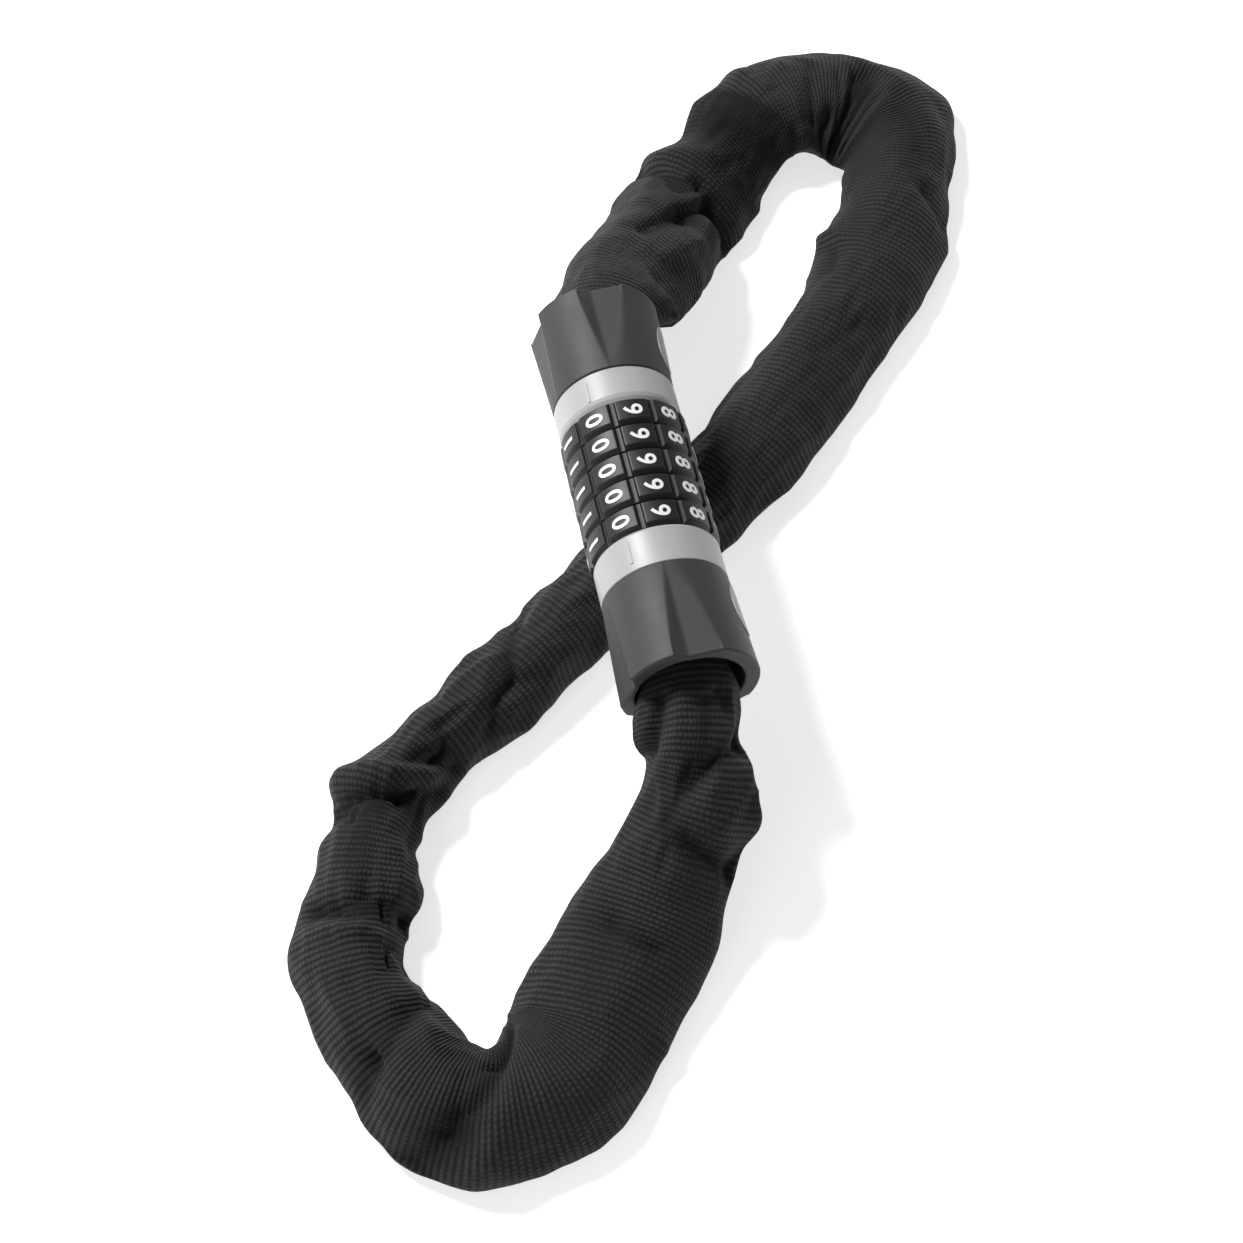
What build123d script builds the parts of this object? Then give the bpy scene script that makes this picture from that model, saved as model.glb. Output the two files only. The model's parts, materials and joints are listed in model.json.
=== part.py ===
from build123d import *
from math import acos, ceil, cos, pi, radians, sin, tan
import os

# Chain lock: a combination barrel with five number dials, and a sleeved chain whose two ends
# are anchored in the barrel's end caps. The cap at the +Y end is the plug: it pulls out along
# the barrel when every dial's gate lines up with the teeth of the locking pin.
#
# Frame: millimetres, +Z up from the table, +Y along the barrel towards the plug, origin on
# the table under the middle of the whole part. Barrel parts are drawn about their own +Z
# axis and then laid along +Y. Angles round the barrel are in degrees from straight up,
# positive towards +X.

# --- driving dimensions -------------------------------------------------------------------

# where the barrel lies over the chain
BARREL_X = -11.5
BARREL_Y = -6.0
REST_GAP = 0.4            # dials above the sleeve that crosses under them
INDEX_ANGLE = -30.0       # the line at which the code is read
BADGE_ANGLE = 72.5        # middle of the badge on each cap

# dials
DIAL_COUNT = 5
DIGITS = 10
DIAL_PITCH = 9.1
DIAL_GAP = 0.4            # between neighbouring dials
DIAL_RADIUS = 19.1
DIAL_GROOVE_WIDTH = 2.6   # groove between two digit pads
DIAL_GROOVE_DEPTH = 1.1
DIAL_EDGE_PLUG = 0.7      # chamfer on the side that faces the plug
DIAL_EDGE_BODY = 1.5      # chamfer on the side that faces the body cap

# fixed rings at both ends of the dials
RING_RADIUS = 18.5
RING_LENGTH = 12.0
RING_EDGE = 0.4           # chamfer on both rings
RING_ROUND = 2.2          # length of the rounded side that faces the dials
INDEX_MARK = (7.0, 0.9, 0.25)   # length, width, height of the raised reading mark

# code discs inside the dials
DISC_RIM = 3.0            # thickness of the rim round the web
DISC_RIB = 0.9            # radius of the ribs that drive the dial
DISC_WEB = 5.0            # thickness of the web that blocks the teeth
NOTCH_RADIUS = 0.95       # click notches in the bore

# core tube and locking pin
PIN_RADIUS = 3.5
TUBE_WALL = 2.4
TOOTH_RISE = 2.0          # teeth beyond the core tube
TOOTH_WIDTH = 2.2
TOOTH_LENGTH = 2.4
PIN_LEAD = 1.2            # pin beyond its last tooth

# click spring in a groove of the core tube
SPRING_THICKNESS = 0.35
SPRING_WIDTH = 2.6
CLICK_RADIUS = 0.75

# clip and washer that hold the stack on the core tube
WASHER_THICKNESS = 1.0
WASHER_WIDTH = 3.6
CLIP_THICKNESS = 1.0
CLIP_WIDTH = 2.8          # beyond the core tube
CLIP_GROOVE_DEPTH = 0.75
CLIP_OPENING = 80.0       # angle of the clip's gap

# end caps
SEAM_GAP = 0.25           # visible joint between the plug cap and its ring
CAP_LENGTH = 31.0
CAP_RIM_RADIUS = 20.0
CAP_MOUTH_RADIUS = 15.5
CAP_LIP = 0.6             # flare at the edge of the mouth
CAP_MOUTH_TAPER = 0.9     # the mouth is narrower at its floor by this much
CAP_EDGE = 0.8
FLUTE_DEPTH = 2.7         # at the rim, running out to nothing at the seam
FLUTE_STEP_ANGLE = 12.5   # the steep side of a flute
FLUTE_FACET_ANGLE = 31.0  # the gentle side of a flute
FLUTE_ANGLES = (76.0, 142.0)    # flute bottoms, each side of the badge

# badges and the set screws under them
BADGE_LENGTH = 17.0
BADGE_WIDTH = 10.0
BADGE_CENTRE = 12.5       # from the seam
BADGE_DEPTH = 1.4
BADGE_PROUD = 0.25
SCREW_RADIUS = 1.5
SCREW_LENGTH = 8.0
SCREW_FROM_SEAM = 9.0
SCREW_KEY = 1.5           # across flats of the hexagon socket

# metal hubs that the chain is pinned to
HUB_STEP = 2.0            # hub beyond its neck
HUB_LENGTH = 20.0
HUB_SHOULDER = 14.0       # the sleeve's neck starts here
HUB_SOCKET = 5.5          # depth of the socket for the tube or the locking pin
HUB_SLOT_START = 6.2
CHAIN_PIN_RADIUS = 2.6
CHAIN_PIN_PLACE = 15.0    # from the seam
DOWEL_RADIUS = 1.0
DOWEL_PLACE = 3.0

# chain
LINK_WIRE = 4.0           # square section
LINK_EDGE = 1.1
LINK_INNER_RADIUS = 4.1
LINK_INNER_LENGTH = 17.0
LINK_PITCH_MAX = 14.9     # links pulled nearly tight

# sleeve
SLEEVE_RADIUS = 11.0
SLEEVE_WALL = 0.8
FERRULE_WALL = 1.25
FERRULE_LENGTH = 5.5

# named clearances
RUN_FIT = 0.08            # code disc on the core tube
DRIVE_FIT = 0.15          # dial on its code disc
CLIP_FIT = 0.05           # clip in its groove, each side
STACK_FIT = 0.25          # upper ring's floor below the washer
PIN_FIT = 0.10            # locking pin in the core tube
TOOTH_FIT = 0.3           # teeth in the slot and the gates
SLIP_FIT = 0.05           # parts pushed together by hand
SLOT_FIT = 0.8            # chain link in the hub's slot
LINK_SLACK = 0.3          # end link on its pin

# --- sizes that follow ----------------------------------------------------------------------

TUBE_RADIUS = PIN_RADIUS + PIN_FIT + TUBE_WALL
TOOTH_REACH = TUBE_RADIUS + TOOTH_RISE
DISC_RIM_BORE = TOOTH_REACH + 1.0
DISC_RADIUS = DISC_RIM_BORE + DISC_RIM
DIAL_BORE = DISC_RADIUS + DRIVE_FIT
WASHER_RADIUS = TUBE_RADIUS + WASHER_WIDTH
CLIP_RADIUS = TUBE_RADIUS + CLIP_WIDTH
AXIS_HEIGHT = 2 * SLEEVE_RADIUS + REST_GAP + DIAL_RADIUS
STACK_HALF = DIAL_COUNT * DIAL_PITCH / 2
RING_FACE = STACK_HALF + RING_LENGTH
PLUG_SEAM = RING_FACE + SEAM_GAP
BODY_SEAM = RING_FACE
INDEX_TURN = INDEX_ANGLE - 90          # the same directions as angles about the drawing axis
SLOT_TURN = INDEX_TURN + 180
BADGE_TURN = BADGE_ANGLE - 90
UP_FROM_BADGE = -90 - BADGE_TURN
TUBE_BORE = PIN_RADIUS + PIN_FIT
TUBE_END = RING_FACE - 0.6
SLEEVE_BORE = SLEEVE_RADIUS - SLEEVE_WALL
NECK_RADIUS = SLEEVE_BORE - 0.2
HUB_RADIUS = NECK_RADIUS + HUB_STEP
SLEEVE_START = HUB_SHOULDER + 0.5
DIAL_PLACES = [DIAL_PITCH * ((DIAL_COUNT - 1) / 2 - i) for i in range(DIAL_COUNT)]
TOOTH_PLACES = [place - DIAL_PITCH / 2 for place in DIAL_PLACES]
PIN_TIP = TOOTH_PLACES[-1] - TOOTH_LENGTH / 2 - PIN_LEAD
PLUG_TRAVEL = RING_FACE - PIN_TIP + 0.5
END_LINK_PLACE = CHAIN_PIN_PLACE - CHAIN_PIN_RADIUS + LINK_INNER_LENGTH / 2 - LINK_SLACK
CLIP_PLACE = STACK_HALF + 8.25

# The sleeve's route. The first and last two points follow the barrel; the rest are chosen by
# hand, each with the height by which it is lifted off the table. The sleeve leaves the plug, drops to the table, loops round, passes under the dials,
# loops round again and climbs to the body cap.
LEAD = 12.0               # straight run beyond each cap's rim
FREE_POINTS = [
    (8.5, 94, 20), (25.5, 118, 7), (41.5, 142, 3), (59.5, 160, 4), (81, 168, 3),
    (100.5, 164.5, 0), (113, 150, 0), (114, 130, 0), (104, 110.5, 0), (88, 88, 0),
    (54, 49.5, 0), (24, 19.5, 0), (-10.5, -5, 0), (-41.5, -27.5, 0), (-69.5, -46, 0),
    (-93.5, -64, 0), (-106.5, -86, 0), (-112.5, -114, 0), (-111.5, -138, 0),
    (-101.5, -159, 0), (-81.5, -168, 0), (-60.5, -162, 0), (-48.5, -143, 0),
    (-34.5, -121, 2), (-20.5, -102, 15),
]
PLUG_MOUTH = BARREL_Y + PLUG_SEAM
BODY_MOUTH = BARREL_Y - BODY_SEAM
ROUTE = (
    [(BARREL_X, PLUG_MOUTH + SLEEVE_START, AXIS_HEIGHT),
     (BARREL_X, PLUG_MOUTH + CAP_LENGTH + LEAD, AXIS_HEIGHT)]
    + [(x, y, SLEEVE_RADIUS + lift) for x, y, lift in FREE_POINTS]
    + [(BARREL_X, BODY_MOUTH - CAP_LENGTH - LEAD, AXIS_HEIGHT),
       (BARREL_X, BODY_MOUTH - SLEEVE_START, AXIS_HEIGHT)]
)
CORNER_SHARE = 0.45       # share of the shorter run that a corner's arc takes

# stretches of the sleeve, by the runs of the route at which each one ends
SLEEVE_STRETCHES = {
    "sleeve_plug_end": 3,
    "sleeve_far_rise": 5,
    "sleeve_far_bend": 7,
    "sleeve_far_return": 9,
    "sleeve_right_run": 11,
    "sleeve_crossing": 13,
    "sleeve_left_run": 15,
    "sleeve_left_bend": 17,
    "sleeve_near_left": 19,
    "sleeve_near_bend": 22,
    "sleeve_near_corner": 24,
    "sleeve_near_return": 25,
    "sleeve_body_end": 27,
}


# --- helpers -------------------------------------------------------------------------------


def ring(outer, inner, start, end):
    """A plain tube about Z from start to end."""
    return Pos(0, 0, start) * extrude(Circle(outer) - Circle(inner), end - start)


def rod(radius, start, end):
    """A plain cylinder about Z from start to end."""
    return Pos(0, 0, start) * extrude(Circle(radius), end - start)


def turned(outline):
    """A solid of revolution about Z from an outline of (radius, height) points."""
    return revolve(make_face(Plane.XZ * Polyline(*outline, close=True)), Axis.Z)


def radial_box(turn, inner, outer, width, start, end):
    """A box that reaches from one radius to another at an angle about Z."""
    middle = Pos((inner + outer) / 2, 0, (start + end) / 2)
    return Rot(0, 0, turn) * middle * Box(outer - inner, width, end - start)


def around(turn, radius, shape):
    """One copy of a shape per digit, placed at a radius and starting from an angle."""
    step = 360 / DIGITS
    return [Rot(0, 0, turn + step * i) * Pos(radius, 0, 0) * shape for i in range(DIGITS)]


def in_barrel(shape):
    """Lay a part drawn about Z along the barrel's axis."""
    return Location((BARREL_X, BARREL_Y, AXIS_HEIGHT), (-90, 0, 0)) * shape


def at_plug(shape):
    """Place an end part, drawn from its seam outwards with the badge on +X, at the plug."""
    return in_barrel(Pos(0, 0, PLUG_SEAM) * Rot(0, 0, BADGE_TURN) * shape)


def at_body(shape):
    """The same for the body cap's end, which points the other way."""
    return in_barrel(Pos(0, 0, -BODY_SEAM) * Rot(0, 0, BADGE_TURN) * Rot(180, 0, 0) * shape)


# --- dials and code discs ------------------------------------------------------------------


def dial():
    """Number dial: ten raised pads round the rim, and grooves inside for the code disc."""
    half = (DIAL_PITCH - DIAL_GAP) / 2
    low = DIAL_RADIUS - DIAL_GROOVE_DEPTH
    body = turned([
        (DIAL_BORE, -half), (low, -half), (DIAL_RADIUS, -half + DIAL_EDGE_BODY),
        (DIAL_RADIUS, half - DIAL_EDGE_PLUG), (low, half), (DIAL_BORE, half),
    ])
    width = DIAL_GROOVE_WIDTH / 2
    groove = make_face(Polyline(
        (low, -width / 2), (DIAL_RADIUS + 1, -width - 0.4), (DIAL_RADIUS + 1, width + 0.4),
        (low, width / 2), close=True))
    cutter = Pos(0, 0, -half - 1) * extrude(groove, 2 * half + 2)
    half_step = 180 / DIGITS
    body -= around(INDEX_TURN + half_step, 0, cutter)
    spline = rod(DISC_RIB + 0.1, -half - 1, half + 1)
    return body - around(INDEX_TURN + half_step, DIAL_BORE, spline)


def code_disc():
    """Disc inside a dial: a web with one gate for the teeth, click notches and drive ribs."""
    half = (DIAL_PITCH - DIAL_GAP) / 2
    web = DISC_WEB / 2
    bore = TUBE_RADIUS + RUN_FIT
    body = turned([
        (bore, -web), (DISC_RIM_BORE, -web), (DISC_RIM_BORE, -half), (DISC_RADIUS, -half),
        (DISC_RADIUS, half), (DISC_RIM_BORE, half), (DISC_RIM_BORE, web), (bore, web),
    ])
    body += around(INDEX_TURN + 180 / DIGITS, DISC_RADIUS, rod(DISC_RIB, -half, half))
    body -= around(INDEX_TURN, bore, rod(NOTCH_RADIUS, -web - 1, web + 1))
    gate_reach = TOOTH_REACH + TOOTH_FIT
    gate_width = TOOTH_WIDTH + 2 * TOOTH_FIT
    return body - radial_box(SLOT_TURN, bore - 1, gate_reach, gate_width, -web - 1, web + 1)


# --- core of the body ----------------------------------------------------------------------


def core_tube():
    """Tube that the discs turn on, with a slot for the teeth and a groove for the spring."""
    start = -BODY_SEAM - HUB_SOCKET
    tube = ring(TUBE_RADIUS, TUBE_BORE, start, TUBE_END)
    slot_width = TOOTH_WIDTH + 2 * TOOTH_FIT
    slot_start = TOOTH_PLACES[-1] - TOOTH_LENGTH / 2 - 2 * TOOTH_FIT
    tube -= radial_box(SLOT_TURN, PIN_RADIUS / 2, TUBE_RADIUS + 1, slot_width,
                       slot_start, TUBE_END + 1)
    groove_bottom = TUBE_RADIUS - CLICK_RADIUS - SPRING_THICKNESS
    tube -= radial_box(INDEX_TURN, groove_bottom, TUBE_RADIUS + 1, SPRING_WIDTH + 0.4,
                       -STACK_HALF - 1.5, STACK_HALF + 1.5)
    clip_low = TUBE_RADIUS - CLIP_GROOVE_DEPTH
    tube -= ring(TUBE_RADIUS + 1, clip_low, CLIP_PLACE - CLIP_FIT,
                 CLIP_PLACE + CLIP_THICKNESS + CLIP_FIT)
    return tube - Rot(0, 0, BADGE_TURN) * Pos(0, 0, -BODY_SEAM - DOWEL_PLACE) * dowel()


def click_spring():
    """Leaf spring with one bump per dial, each resting in a notch of its code disc."""
    low = TUBE_RADIUS - CLICK_RADIUS - SPRING_THICKNESS + 0.05
    strip = radial_box(INDEX_TURN, low, low + SPRING_THICKNESS, SPRING_WIDTH,
                       -STACK_HALF - 1.2, STACK_HALF + 1.2)
    bump = rod(CLICK_RADIUS, -DISC_WEB / 2 + 1, DISC_WEB / 2 - 1)
    for place in DIAL_PLACES:
        strip += Rot(0, 0, INDEX_TURN) * Pos(TUBE_RADIUS - 0.1, 0, place) * bump
    return strip


def index_mark(inner_face, outer_face):
    """Raised line on a ring that shows where the code is read."""
    length, width, height = INDEX_MARK
    middle = (inner_face + outer_face) / 2
    return radial_box(INDEX_TURN, RING_RADIUS - 0.5, RING_RADIUS + height, width,
                      middle - length / 2, middle + length / 2)


def upper_ring():
    """Ring on the plug's side of the dials, keyed for the teeth and hollowed for the clip."""
    face, end = STACK_HALF, RING_FACE
    floor = CLIP_PLACE - WASHER_THICKNESS - STACK_FIT
    pocket = WASHER_RADIUS + 0.4
    outline = [
        (TUBE_RADIUS, face), (RING_RADIUS - RING_ROUND / 2, face),
        (RING_RADIUS - RING_ROUND / 6, face + RING_ROUND / 2), (RING_RADIUS, face + RING_ROUND),
        (RING_RADIUS, end - RING_EDGE), (RING_RADIUS - RING_EDGE, end),
        (pocket, end), (pocket, floor), (TUBE_RADIUS, floor),
    ]
    body = turned(outline) + index_mark(face, end)
    key_width = TOOTH_WIDTH + 2 * TOOTH_FIT + 0.4
    return body - radial_box(SLOT_TURN, TUBE_RADIUS - 1, TOOTH_REACH + TOOTH_FIT + 0.1,
                             key_width, face - 1, end + 1)


def lower_ring():
    """Ring on the body's side, with a pocket in which the last tooth rests."""
    face, end = STACK_HALF, RING_FACE
    pocket = TOOTH_LENGTH / 2 + PIN_LEAD + 1.4 + face
    body = turned([
        (TUBE_RADIUS, -end), (RING_RADIUS - RING_EDGE / 2, -end),
        (RING_RADIUS, -end + RING_EDGE / 2),
        (RING_RADIUS, -face - 2 * RING_EDGE), (RING_RADIUS - RING_EDGE, -face),
        (DISC_RIM_BORE, -face), (DISC_RIM_BORE, -pocket), (TUBE_RADIUS, -pocket),
    ])
    return body + index_mark(-end, -face)


def stack_washer():
    """Thrust washer between the upper ring and its clip, keyed for the teeth."""
    start = CLIP_PLACE - WASHER_THICKNESS - 0.1
    washer = ring(WASHER_RADIUS, TUBE_RADIUS + SLIP_FIT, start, start + WASHER_THICKNESS)
    key_width = TOOTH_WIDTH + 2 * TOOTH_FIT + 0.4
    return washer - radial_box(SLOT_TURN, TUBE_RADIUS - 1, TOOTH_REACH + TOOTH_FIT + 0.1,
                               key_width, start - 1, start + 3)


def retaining_clip():
    """Open clip in the core tube's groove; its gap lets the teeth pass."""
    inner = TUBE_RADIUS - CLIP_GROOVE_DEPTH + SLIP_FIT
    clip = ring(CLIP_RADIUS, inner, CLIP_PLACE, CLIP_PLACE + CLIP_THICKNESS)
    half = radians(CLIP_OPENING / 2)
    reach = 2 * CLIP_RADIUS
    gap = make_face(Polyline((0, 0), (reach * cos(half), -reach * sin(half)),
                             (reach * cos(half), reach * sin(half)), close=True))
    return clip - Rot(0, 0, SLOT_TURN) * Pos(0, 0, CLIP_PLACE - 1) * extrude(gap, 3)


# --- plug ----------------------------------------------------------------------------------


def locking_pin():
    """Rod with one tooth per dial; the teeth rest beside the webs of the code discs."""
    end = PLUG_SEAM + HUB_SOCKET
    bevel = 0.8
    pin = turned([
        (0, PIN_TIP), (PIN_RADIUS - bevel, PIN_TIP), (PIN_RADIUS, PIN_TIP + bevel),
        (PIN_RADIUS, end), (0, end),
    ])
    for place in TOOTH_PLACES:
        half = TOOTH_LENGTH / 2
        pin += radial_box(SLOT_TURN, PIN_RADIUS / 2, TOOTH_REACH, TOOTH_WIDTH,
                          place - half, place + half)
    return pin - Rot(0, 0, BADGE_TURN) * Pos(0, 0, PLUG_SEAM + DOWEL_PLACE) * dowel()


def dowel():
    """Cross dowel about the X axis, as long as the hub is wide less a little each side."""
    return Rot(0, 90, 0) * rod(DOWEL_RADIUS, 0.6 - HUB_RADIUS, HUB_RADIUS - 0.6)


# --- end parts, drawn from the seam outwards with the badge on +X ----------------------------


def polar(radius, angle):
    return (radius * cos(radians(angle)), radius * sin(radians(angle)))


def cap_envelope(grow=0.0):
    """The cap's round outside, before its flutes are cut."""
    seam, rim = RING_RADIUS + grow, CAP_RIM_RADIUS + grow
    edge = CAP_EDGE
    return turned([
        (0, 0), (seam - edge / 4, 0), (seam, edge / 4),
        (rim, CAP_LENGTH - edge), (rim - edge, CAP_LENGTH), (0, CAP_LENGTH),
    ])


def flute(angle, facet_side):
    """Cutter for one flute: a gentle facet, a steep step, and a bottom that rises to the
    surface at the seam. facet_side is +1 or -1, the side on which the facet lies."""
    bottom = CAP_RIM_RADIUS - FLUTE_DEPTH
    far = CAP_RIM_RADIUS + 6
    facet = angle + facet_side * FLUTE_FACET_ANGLE
    step = angle - facet_side * FLUTE_STEP_ANGLE
    outline = make_face(Polyline(
        polar(bottom, angle), polar(CAP_RIM_RADIUS + 0.1, facet), polar(far, facet),
        polar(far + 2, angle), polar(far, step), polar(CAP_RIM_RADIUS + 0.1, step),
        close=True))
    rise = RING_RADIUS + 0.1 - bottom
    over = 1.0
    along = Vector(*polar(rise, angle), -CAP_LENGTH)
    start = Vector(0, 0, CAP_LENGTH) - along * (over / CAP_LENGTH)
    length = along.length * (1 + 2 * over / CAP_LENGTH)
    return Pos(start) * extrude(outline, amount=length, dir=along)


def badge_plane():
    """Plane of the badge pocket's floor, facing outwards."""
    radius = RING_RADIUS + (CAP_RIM_RADIUS - RING_RADIUS) * BADGE_CENTRE / CAP_LENGTH
    floor = radius - BADGE_DEPTH
    return Plane(origin=(floor, 0, BADGE_CENTRE), x_dir=(0, 0, 1), z_dir=(1, 0, 0))


def end_cap():
    """Fluted plastic cap over a hub, open at the outer end for the sleeved chain."""
    cap = cap_envelope()
    for angle in FLUTE_ANGLES:
        inward = -1 if angle == FLUTE_ANGLES[0] else 1
        cap -= flute(angle, inward)
        cap -= flute(-angle, -inward)
    cap -= rod(HUB_RADIUS + SLIP_FIT, -1, HUB_SHOULDER)
    cap -= turned([
        (0, HUB_SHOULDER), (CAP_MOUTH_RADIUS - CAP_MOUTH_TAPER, HUB_SHOULDER),
        (CAP_MOUTH_RADIUS, CAP_LENGTH - CAP_LIP), (CAP_MOUTH_RADIUS + CAP_LIP, CAP_LENGTH),
        (CAP_MOUTH_RADIUS + CAP_LIP, CAP_LENGTH + 1), (0, CAP_LENGTH + 1),
    ])
    pocket = badge_plane() * Ellipse(BADGE_LENGTH / 2, BADGE_WIDTH / 2)
    cap -= extrude(pocket, BADGE_DEPTH + 3)
    hole = rod(SCREW_RADIUS + SLIP_FIT, HUB_RADIUS - 1, CAP_RIM_RADIUS)
    return cap - Pos(0, 0, SCREW_FROM_SEAM) * Rot(0, 90, 0) * hole


def badge():
    """Blank oval badge, flush with its pocket and slightly proud of the cap."""
    oval = badge_plane() * Ellipse(BADGE_LENGTH / 2 - SLIP_FIT, BADGE_WIDTH / 2 - SLIP_FIT)
    return extrude(oval, BADGE_DEPTH + 3) & cap_envelope(BADGE_PROUD)


def cap_screw():
    """Set screw through the cap into the hub, hidden under the badge."""
    end = badge_plane().origin.X - 0.3
    screw = rod(SCREW_RADIUS, end - SCREW_LENGTH, end)
    key = RegularPolygon(SCREW_KEY / 2, 6, major_radius=False)
    screw -= Pos(0, 0, end - 1.6) * extrude(key, 2)
    return Pos(0, 0, SCREW_FROM_SEAM) * Rot(0, 90, 0) * screw


def hub(socket_radius, up_turn):
    """Metal clevis in a cap: a socket on the inner side and a slot for the end link."""
    body = turned([
        (0, 0), (HUB_RADIUS, 0), (HUB_RADIUS, HUB_SHOULDER), (NECK_RADIUS, HUB_SHOULDER),
        (NECK_RADIUS, HUB_LENGTH), (0, HUB_LENGTH),
    ])
    body -= rod(socket_radius, -1, HUB_SOCKET)
    slot = Box(3 * HUB_RADIUS, LINK_WIRE + SLOT_FIT, HUB_LENGTH)
    body -= Rot(0, 0, up_turn) * Pos(0, 0, HUB_SLOT_START + HUB_LENGTH / 2) * slot
    body -= Rot(0, 0, up_turn) * chain_pin(NECK_RADIUS + 1)
    body -= Pos(0, 0, DOWEL_PLACE) * dowel()
    end = badge_plane().origin.X - 0.3
    screw_hole = rod(SCREW_RADIUS, end - SCREW_LENGTH - 0.3, HUB_RADIUS + 1)
    return body - Pos(0, 0, SCREW_FROM_SEAM) * Rot(0, 90, 0) * screw_hole


def chain_pin(half_length):
    """Pin across the hub's slot, about the Y axis."""
    return Pos(0, 0, CHAIN_PIN_PLACE) * Rot(90, 0, 0) * rod(
        CHAIN_PIN_RADIUS, -half_length, half_length)


def ferrule():
    """Crimped ring that holds the sleeve's end on the hub's neck."""
    inner = SLEEVE_RADIUS + SLIP_FIT
    return ring(inner + FERRULE_WALL, inner, SLEEVE_START, SLEEVE_START + FERRULE_LENGTH)


# --- chain and sleeve ------------------------------------------------------------------------


def corner_radius(i):
    """Radius of the arc at one inner point of the route."""
    before = Vector(*ROUTE[i]) - Vector(*ROUTE[i - 1])
    after = Vector(*ROUTE[i + 1]) - Vector(*ROUTE[i])
    turn = acos(max(-1, min(1, before.normalized().dot(after.normalized()))))
    return CORNER_SHARE * min(before.length, after.length) / tan(turn / 2)


def run_middle(i):
    return (Vector(*ROUTE[i]) + Vector(*ROUTE[i + 1])) / 2


def stretch(first, last):
    """The route's line from the middle of one run to the middle of another. The whole
    route starts at run 0's first point and ends at the last run's last point."""
    inner = list(range(first + 1, last + 1))
    start = Vector(*ROUTE[0]) if first == 0 else run_middle(first)
    end = Vector(*ROUTE[-1]) if last == len(ROUTE) - 2 else run_middle(last)
    points = [start] + [Vector(*ROUTE[i]) for i in inner] + [end]
    radii = [corner_radius(i) for i in inner]
    return FilletPolyline(*points, radius=radii)


def sleeve_stretch(first, last):
    """A plain tube along one stretch of the route."""
    line = stretch(first, last)
    start = Plane(origin=line @ 0, z_dir=line % 0)
    outer = sweep(start * Circle(SLEEVE_RADIUS), path=line)
    inner = sweep(start * Circle(SLEEVE_BORE), path=line)
    return outer - inner


def link():
    """One chain link lying in the XY plane, long side along X."""
    straight = LINK_INNER_LENGTH - 2 * LINK_INNER_RADIUS
    outer = SlotCenterToCenter(straight, 2 * (LINK_INNER_RADIUS + LINK_WIRE))
    inner = SlotCenterToCenter(straight, 2 * LINK_INNER_RADIUS)
    body = Pos(0, 0, -LINK_WIRE / 2) * extrude(outer - inner, LINK_WIRE)
    flat = body.edges().filter_by(lambda e: abs(abs(e.center().Z) - LINK_WIRE / 2) < 1e-6)
    return fillet(flat, LINK_EDGE)


def chain_links():
    """Every link in place, from the plug's end link to the body's. Neighbours stand at
    right angles; both end links stand upright in their hubs' slots."""
    line = stretch(0, len(ROUTE) - 2)
    offset = END_LINK_PLACE - SLEEVE_START
    span = line.length - 2 * offset
    steps = 2 * ceil(span / (2 * LINK_PITCH_MAX))
    pitch = span / steps
    one = link()
    links = []
    for i in range(steps + 1):
        middle = offset + i * pitch
        reach = offset / 2 if i in (0, steps) else pitch / 2
        back = line.position_at(middle - reach, position_mode=PositionMode.LENGTH)
        front = line.position_at(middle + reach, position_mode=PositionMode.LENGTH)
        along = (front - back).normalized()
        side = along.cross(Vector(0, 0, 1)).normalized()
        normal = side if i % 2 == 0 else side.cross(along)
        place = Plane(origin=(front + back) / 2, x_dir=along, z_dir=normal)
        links.append(place * one)
    return links, pitch


# --- write the parts --------------------------------------------------------------------------


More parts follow.
